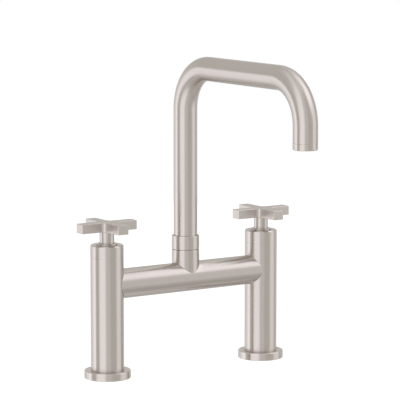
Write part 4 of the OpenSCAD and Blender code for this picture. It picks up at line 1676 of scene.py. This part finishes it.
@dataclass
class Studio:
    """The pale table, the room with its soft boxes, and the camera of the photograph."""

    eye: tuple[float, float, float] = (-1.3395, -2.1992, 0.5459)
    heading: float = 33.586
    pitch: float = 7.767
    lens: float = 216.58
    sensor: float = 36.0
    clip: tuple[float, float] = (0.05, 60.0)
    backdrop: float = 1.0
    room_tone: str = "#FFFDF8"
    room_strength: float = 0.61
    table_tone: str = "#8C8C8C"
    table_mottle: tuple[float, float] = (0.985, 1.015)
    table_glow: float = 0.9
    table_centre: tuple[float, float] = (101.6, -90.0)
    table_radius: float = 1400.0
    table_hole: float = 12.5
    boxes: tuple[SoftBox, ...] = (
        SoftBox("low box on the left", -103, 18, -34, 8, 0.56),
        SoftBox("narrow strip on the left", -94, 7, -28, 8, 0.37),
        SoftBox("low box behind on the left", -142, 26, -50, 3, 0.18),
        SoftBox("tall box at the front left", -31, 23, -60, 60, 0.605),
        SoftBox("faint box at the front", 10, 14, -60, 60, 0.14),
        SoftBox("strip on the right", 89.5, 18.5, -22, 22, 0.43),
        SoftBox("raised box on the right", 90, 28, 24, 57, 0.88),
        SoftBox("raised box behind", 150, 34, 30, 60, 0.19),
        SoftBox("raised box behind on the left", -150, 26, 4, 40, 0.085),
        SoftBox("high box on the right", 124, 22, 46, 76, 0.49),
        SoftBox("ceiling", 0, 170, 60, 84, 0.3),
        SoftBox("low box behind", 180, 55, -30, 18, 0.14),
        SoftBox("dark cloth under the right", 105, 45, -52, -36, -0.13),
        SoftBox("bounce from under the right", 124, 25, -74, -54, 0.21),
    )

    def direction(self, azimuth: float) -> tuple[float, float, float]:
        """Finds a level direction by its angle from the camera's own.

        Args:
            azimuth: the angle in degrees, positive to the camera's right.

        Returns:
            The direction.
        """
        a, h = math.radians(azimuth), math.radians(self.heading)
        return (
            -math.sin(h) * math.cos(a) + math.cos(h) * math.sin(a),
            -math.cos(h) * math.cos(a) - math.sin(h) * math.sin(a),
            0.0,
        )

    def glow_of(self, tree: Tree, box: SoftBox, flat: Socket, height: Socket) -> Socket:
        """Works out one box's light in the direction that is looked at.

        Args:
            tree: the world's tree.
            box: the box.
            flat: the level direction.
            height: the rise of the direction.

        Returns:
            The colour of the light.
        """
        soft = box.feather
        across = [math.cos(math.radians(max(0.0, box.half_width + way * soft))) for way in (1, -1)]
        low, high = (
            [math.sin(math.radians(edge + way * soft)) for way in (-1, 1)] for edge in (box.low, box.high)
        )
        aim = {"operation": "DOT_PRODUCT", 0: flat, 1: self.direction(box.azimuth)}
        wide = ramp(tree, add_node(tree, "VectorMath", aim).outputs["Value"], across, smooth=True)
        above, below = (ramp(tree, height, ends, smooth=True) for ends in (low, high[::-1]))
        lit = times(tree, wide, times(tree, above, below))
        return scaled(tree, linear(box.tone)[:3], times(tree, lit, box.strength))

    def room(self) -> None:
        """Lights the room: pale walls all round, and soft boxes with feathered edges."""
        world = bpy.data.worlds.new("studio")
        bpy.context.scene.world = world
        tree = bare_tree(world)
        look = add_node(tree, "TexCoord").outputs["Generated"]
        height = add_node(tree, "SeparateXYZ", {0: look}).outputs["Z"]
        flatten = {"operation": "MULTIPLY", 0: look, 1: (1.0, 1.0, 0.0)}
        level = add_node(tree, "VectorMath", flatten).outputs[0]
        flat = add_node(tree, "VectorMath", {"operation": "NORMALIZE", 0: level}).outputs[0]
        total = scaled(tree, linear(self.room_tone)[:3], self.room_strength)
        for box in self.boxes:
            glow = self.glow_of(tree, box, flat, height)
            total = add_node(tree, "VectorMath", {"operation": "ADD", 0: total, 1: glow}).outputs[0]
            log.info("light: %s", box.name)
        lights = add_node(tree, "Background", {"Strength": 1.0, "Color": total}).outputs[0]
        paper = add_node(tree, "Background", {"Strength": self.backdrop, "Color": WHITE}).outputs[0]
        direct = add_node(tree, "LightPath").outputs["Is Camera Ray"]
        seen = add_node(tree, "MixShader", {0: direct, 1: lights, 2: paper}).outputs[0]
        add_node(tree, "OutputWorld", {"Surface": seen})

    def table_finish(self) -> bpy.types.Material:
        """Makes the opal acrylic: matt, softly lit from within, and seen only from above.

        Returns:
            The material.
        """
        material = bpy.data.materials.new("opal_acrylic_table")
        tree = bare_tree(material)
        place = add_node(tree, "TexCoord").outputs["Object"]
        mottle = add_node(tree, "TexNoise", {"Scale": 9.0, "Detail": 3.0, "Vector": place}).outputs["Fac"]
        tone = scaled(tree, linear(self.table_tone)[:3], ramp(tree, mottle, NOISE, self.table_mottle))
        matt = add_node(tree, "BsdfDiffuse", {"Color": tone}).outputs[0]
        glow = add_node(tree, "Emission", {"Color": WHITE, "Strength": self.table_glow}).outputs[0]
        opal = add_node(tree, "AddShader", {0: matt, 1: glow}).outputs[0]
        clear = add_node(tree, "BsdfTransparent").outputs[0]
        under = add_node(tree, "NewGeometry").outputs["Backfacing"]
        seen = add_node(tree, "MixShader", {0: under, 1: opal, 2: clear}).outputs[0]
        add_node(tree, "OutputMaterial", {"Surface": seen})
        return material

    def table(self) -> None:
        """Lays the light table that the faucet stands on, open round the shanks."""

        def circle(middle: Sequence[float], radius: float, count: int) -> list[Vector]:
            """Draws a circle on the deck.

            Args:
                middle: its centre, in millimetres.
                radius: its radius, in millimetres.
                count: the number of its points.

            Returns:
                Its points, in metres.
            """
            turns = np.arange(count) * 2 * math.pi / count
            flat = [(middle[0] + radius * math.cos(a), middle[1] + radius * math.sin(a)) for a in turns]
            return [Vector((x * MM, y * MM, 0.0)) for x, y in flat]

        rings = [circle(self.table_centre, self.table_radius, SEGMENTS)]
        flanges = [Span.of(f"{side.value}_flange").middle for side in Side]
        rings += [circle(middle, self.table_hole, SEGMENTS // 2) for middle in flanges]
        points = [point for ring in rings for point in ring]
        faces = []
        for tri in tessellate_polygon(rings):
            a, b, c = (points[k] for k in tri)
            faces.append(tri if (b - a).cross(c - a).z > 0 else tuple(reversed(tri)))
        mesh = bpy.data.meshes.new("table")
        mesh.from_pydata(points, [], faces)
        mesh.materials.append(self.table_finish())
        made = bpy.data.objects.new("table", mesh)
        # As if the table were clear of the metal: else its edge cuts every column's reflections off at one
        # height.
        made.visible_glossy = False
        bpy.context.scene.collection.objects.link(made)

    def camera(self) -> None:
        """Sets the camera where the photograph was taken from."""
        data = bpy.data.cameras.new("photograph")
        data.sensor_width, data.lens = self.sensor, self.lens
        data.clip_start, data.clip_end = self.clip
        made = bpy.data.objects.new("photograph", data)
        bpy.context.scene.collection.objects.link(made)
        h, p = math.radians(self.heading), math.radians(self.pitch)
        look = Vector((math.sin(h) * math.cos(p), math.cos(h) * math.cos(p), -math.sin(p)))
        made.matrix_world = Matrix.LocRotScale(Vector(self.eye), look.to_track_quat("-Z", "Y"), None)
        bpy.context.scene.camera = made

    def build(self) -> None:
        """Sets up the room, the table, the camera and the plain view of colour."""
        self.room()
        self.table()
        self.camera()
        view = bpy.context.scene.view_settings
        view.view_transform, view.look, view.exposure, view.gamma = "Standard", "None", 0.0, 1.0


def main() -> None:
    """Builds the faucet and its studio."""
    logging.basicConfig(level=logging.INFO, format="%(name)s: %(message)s")
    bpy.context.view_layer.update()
    shop = Workshop()
    for side in Side:
        Column(shop, side).build()
        CrossHandle(shop, side).build()
        DeckFixing(shop, side).build()
    Bridge(shop).build()
    Spout(shop).build()
    Inside(shop).build()
    Studio().build()


if __name__ == "__main__":
    main()
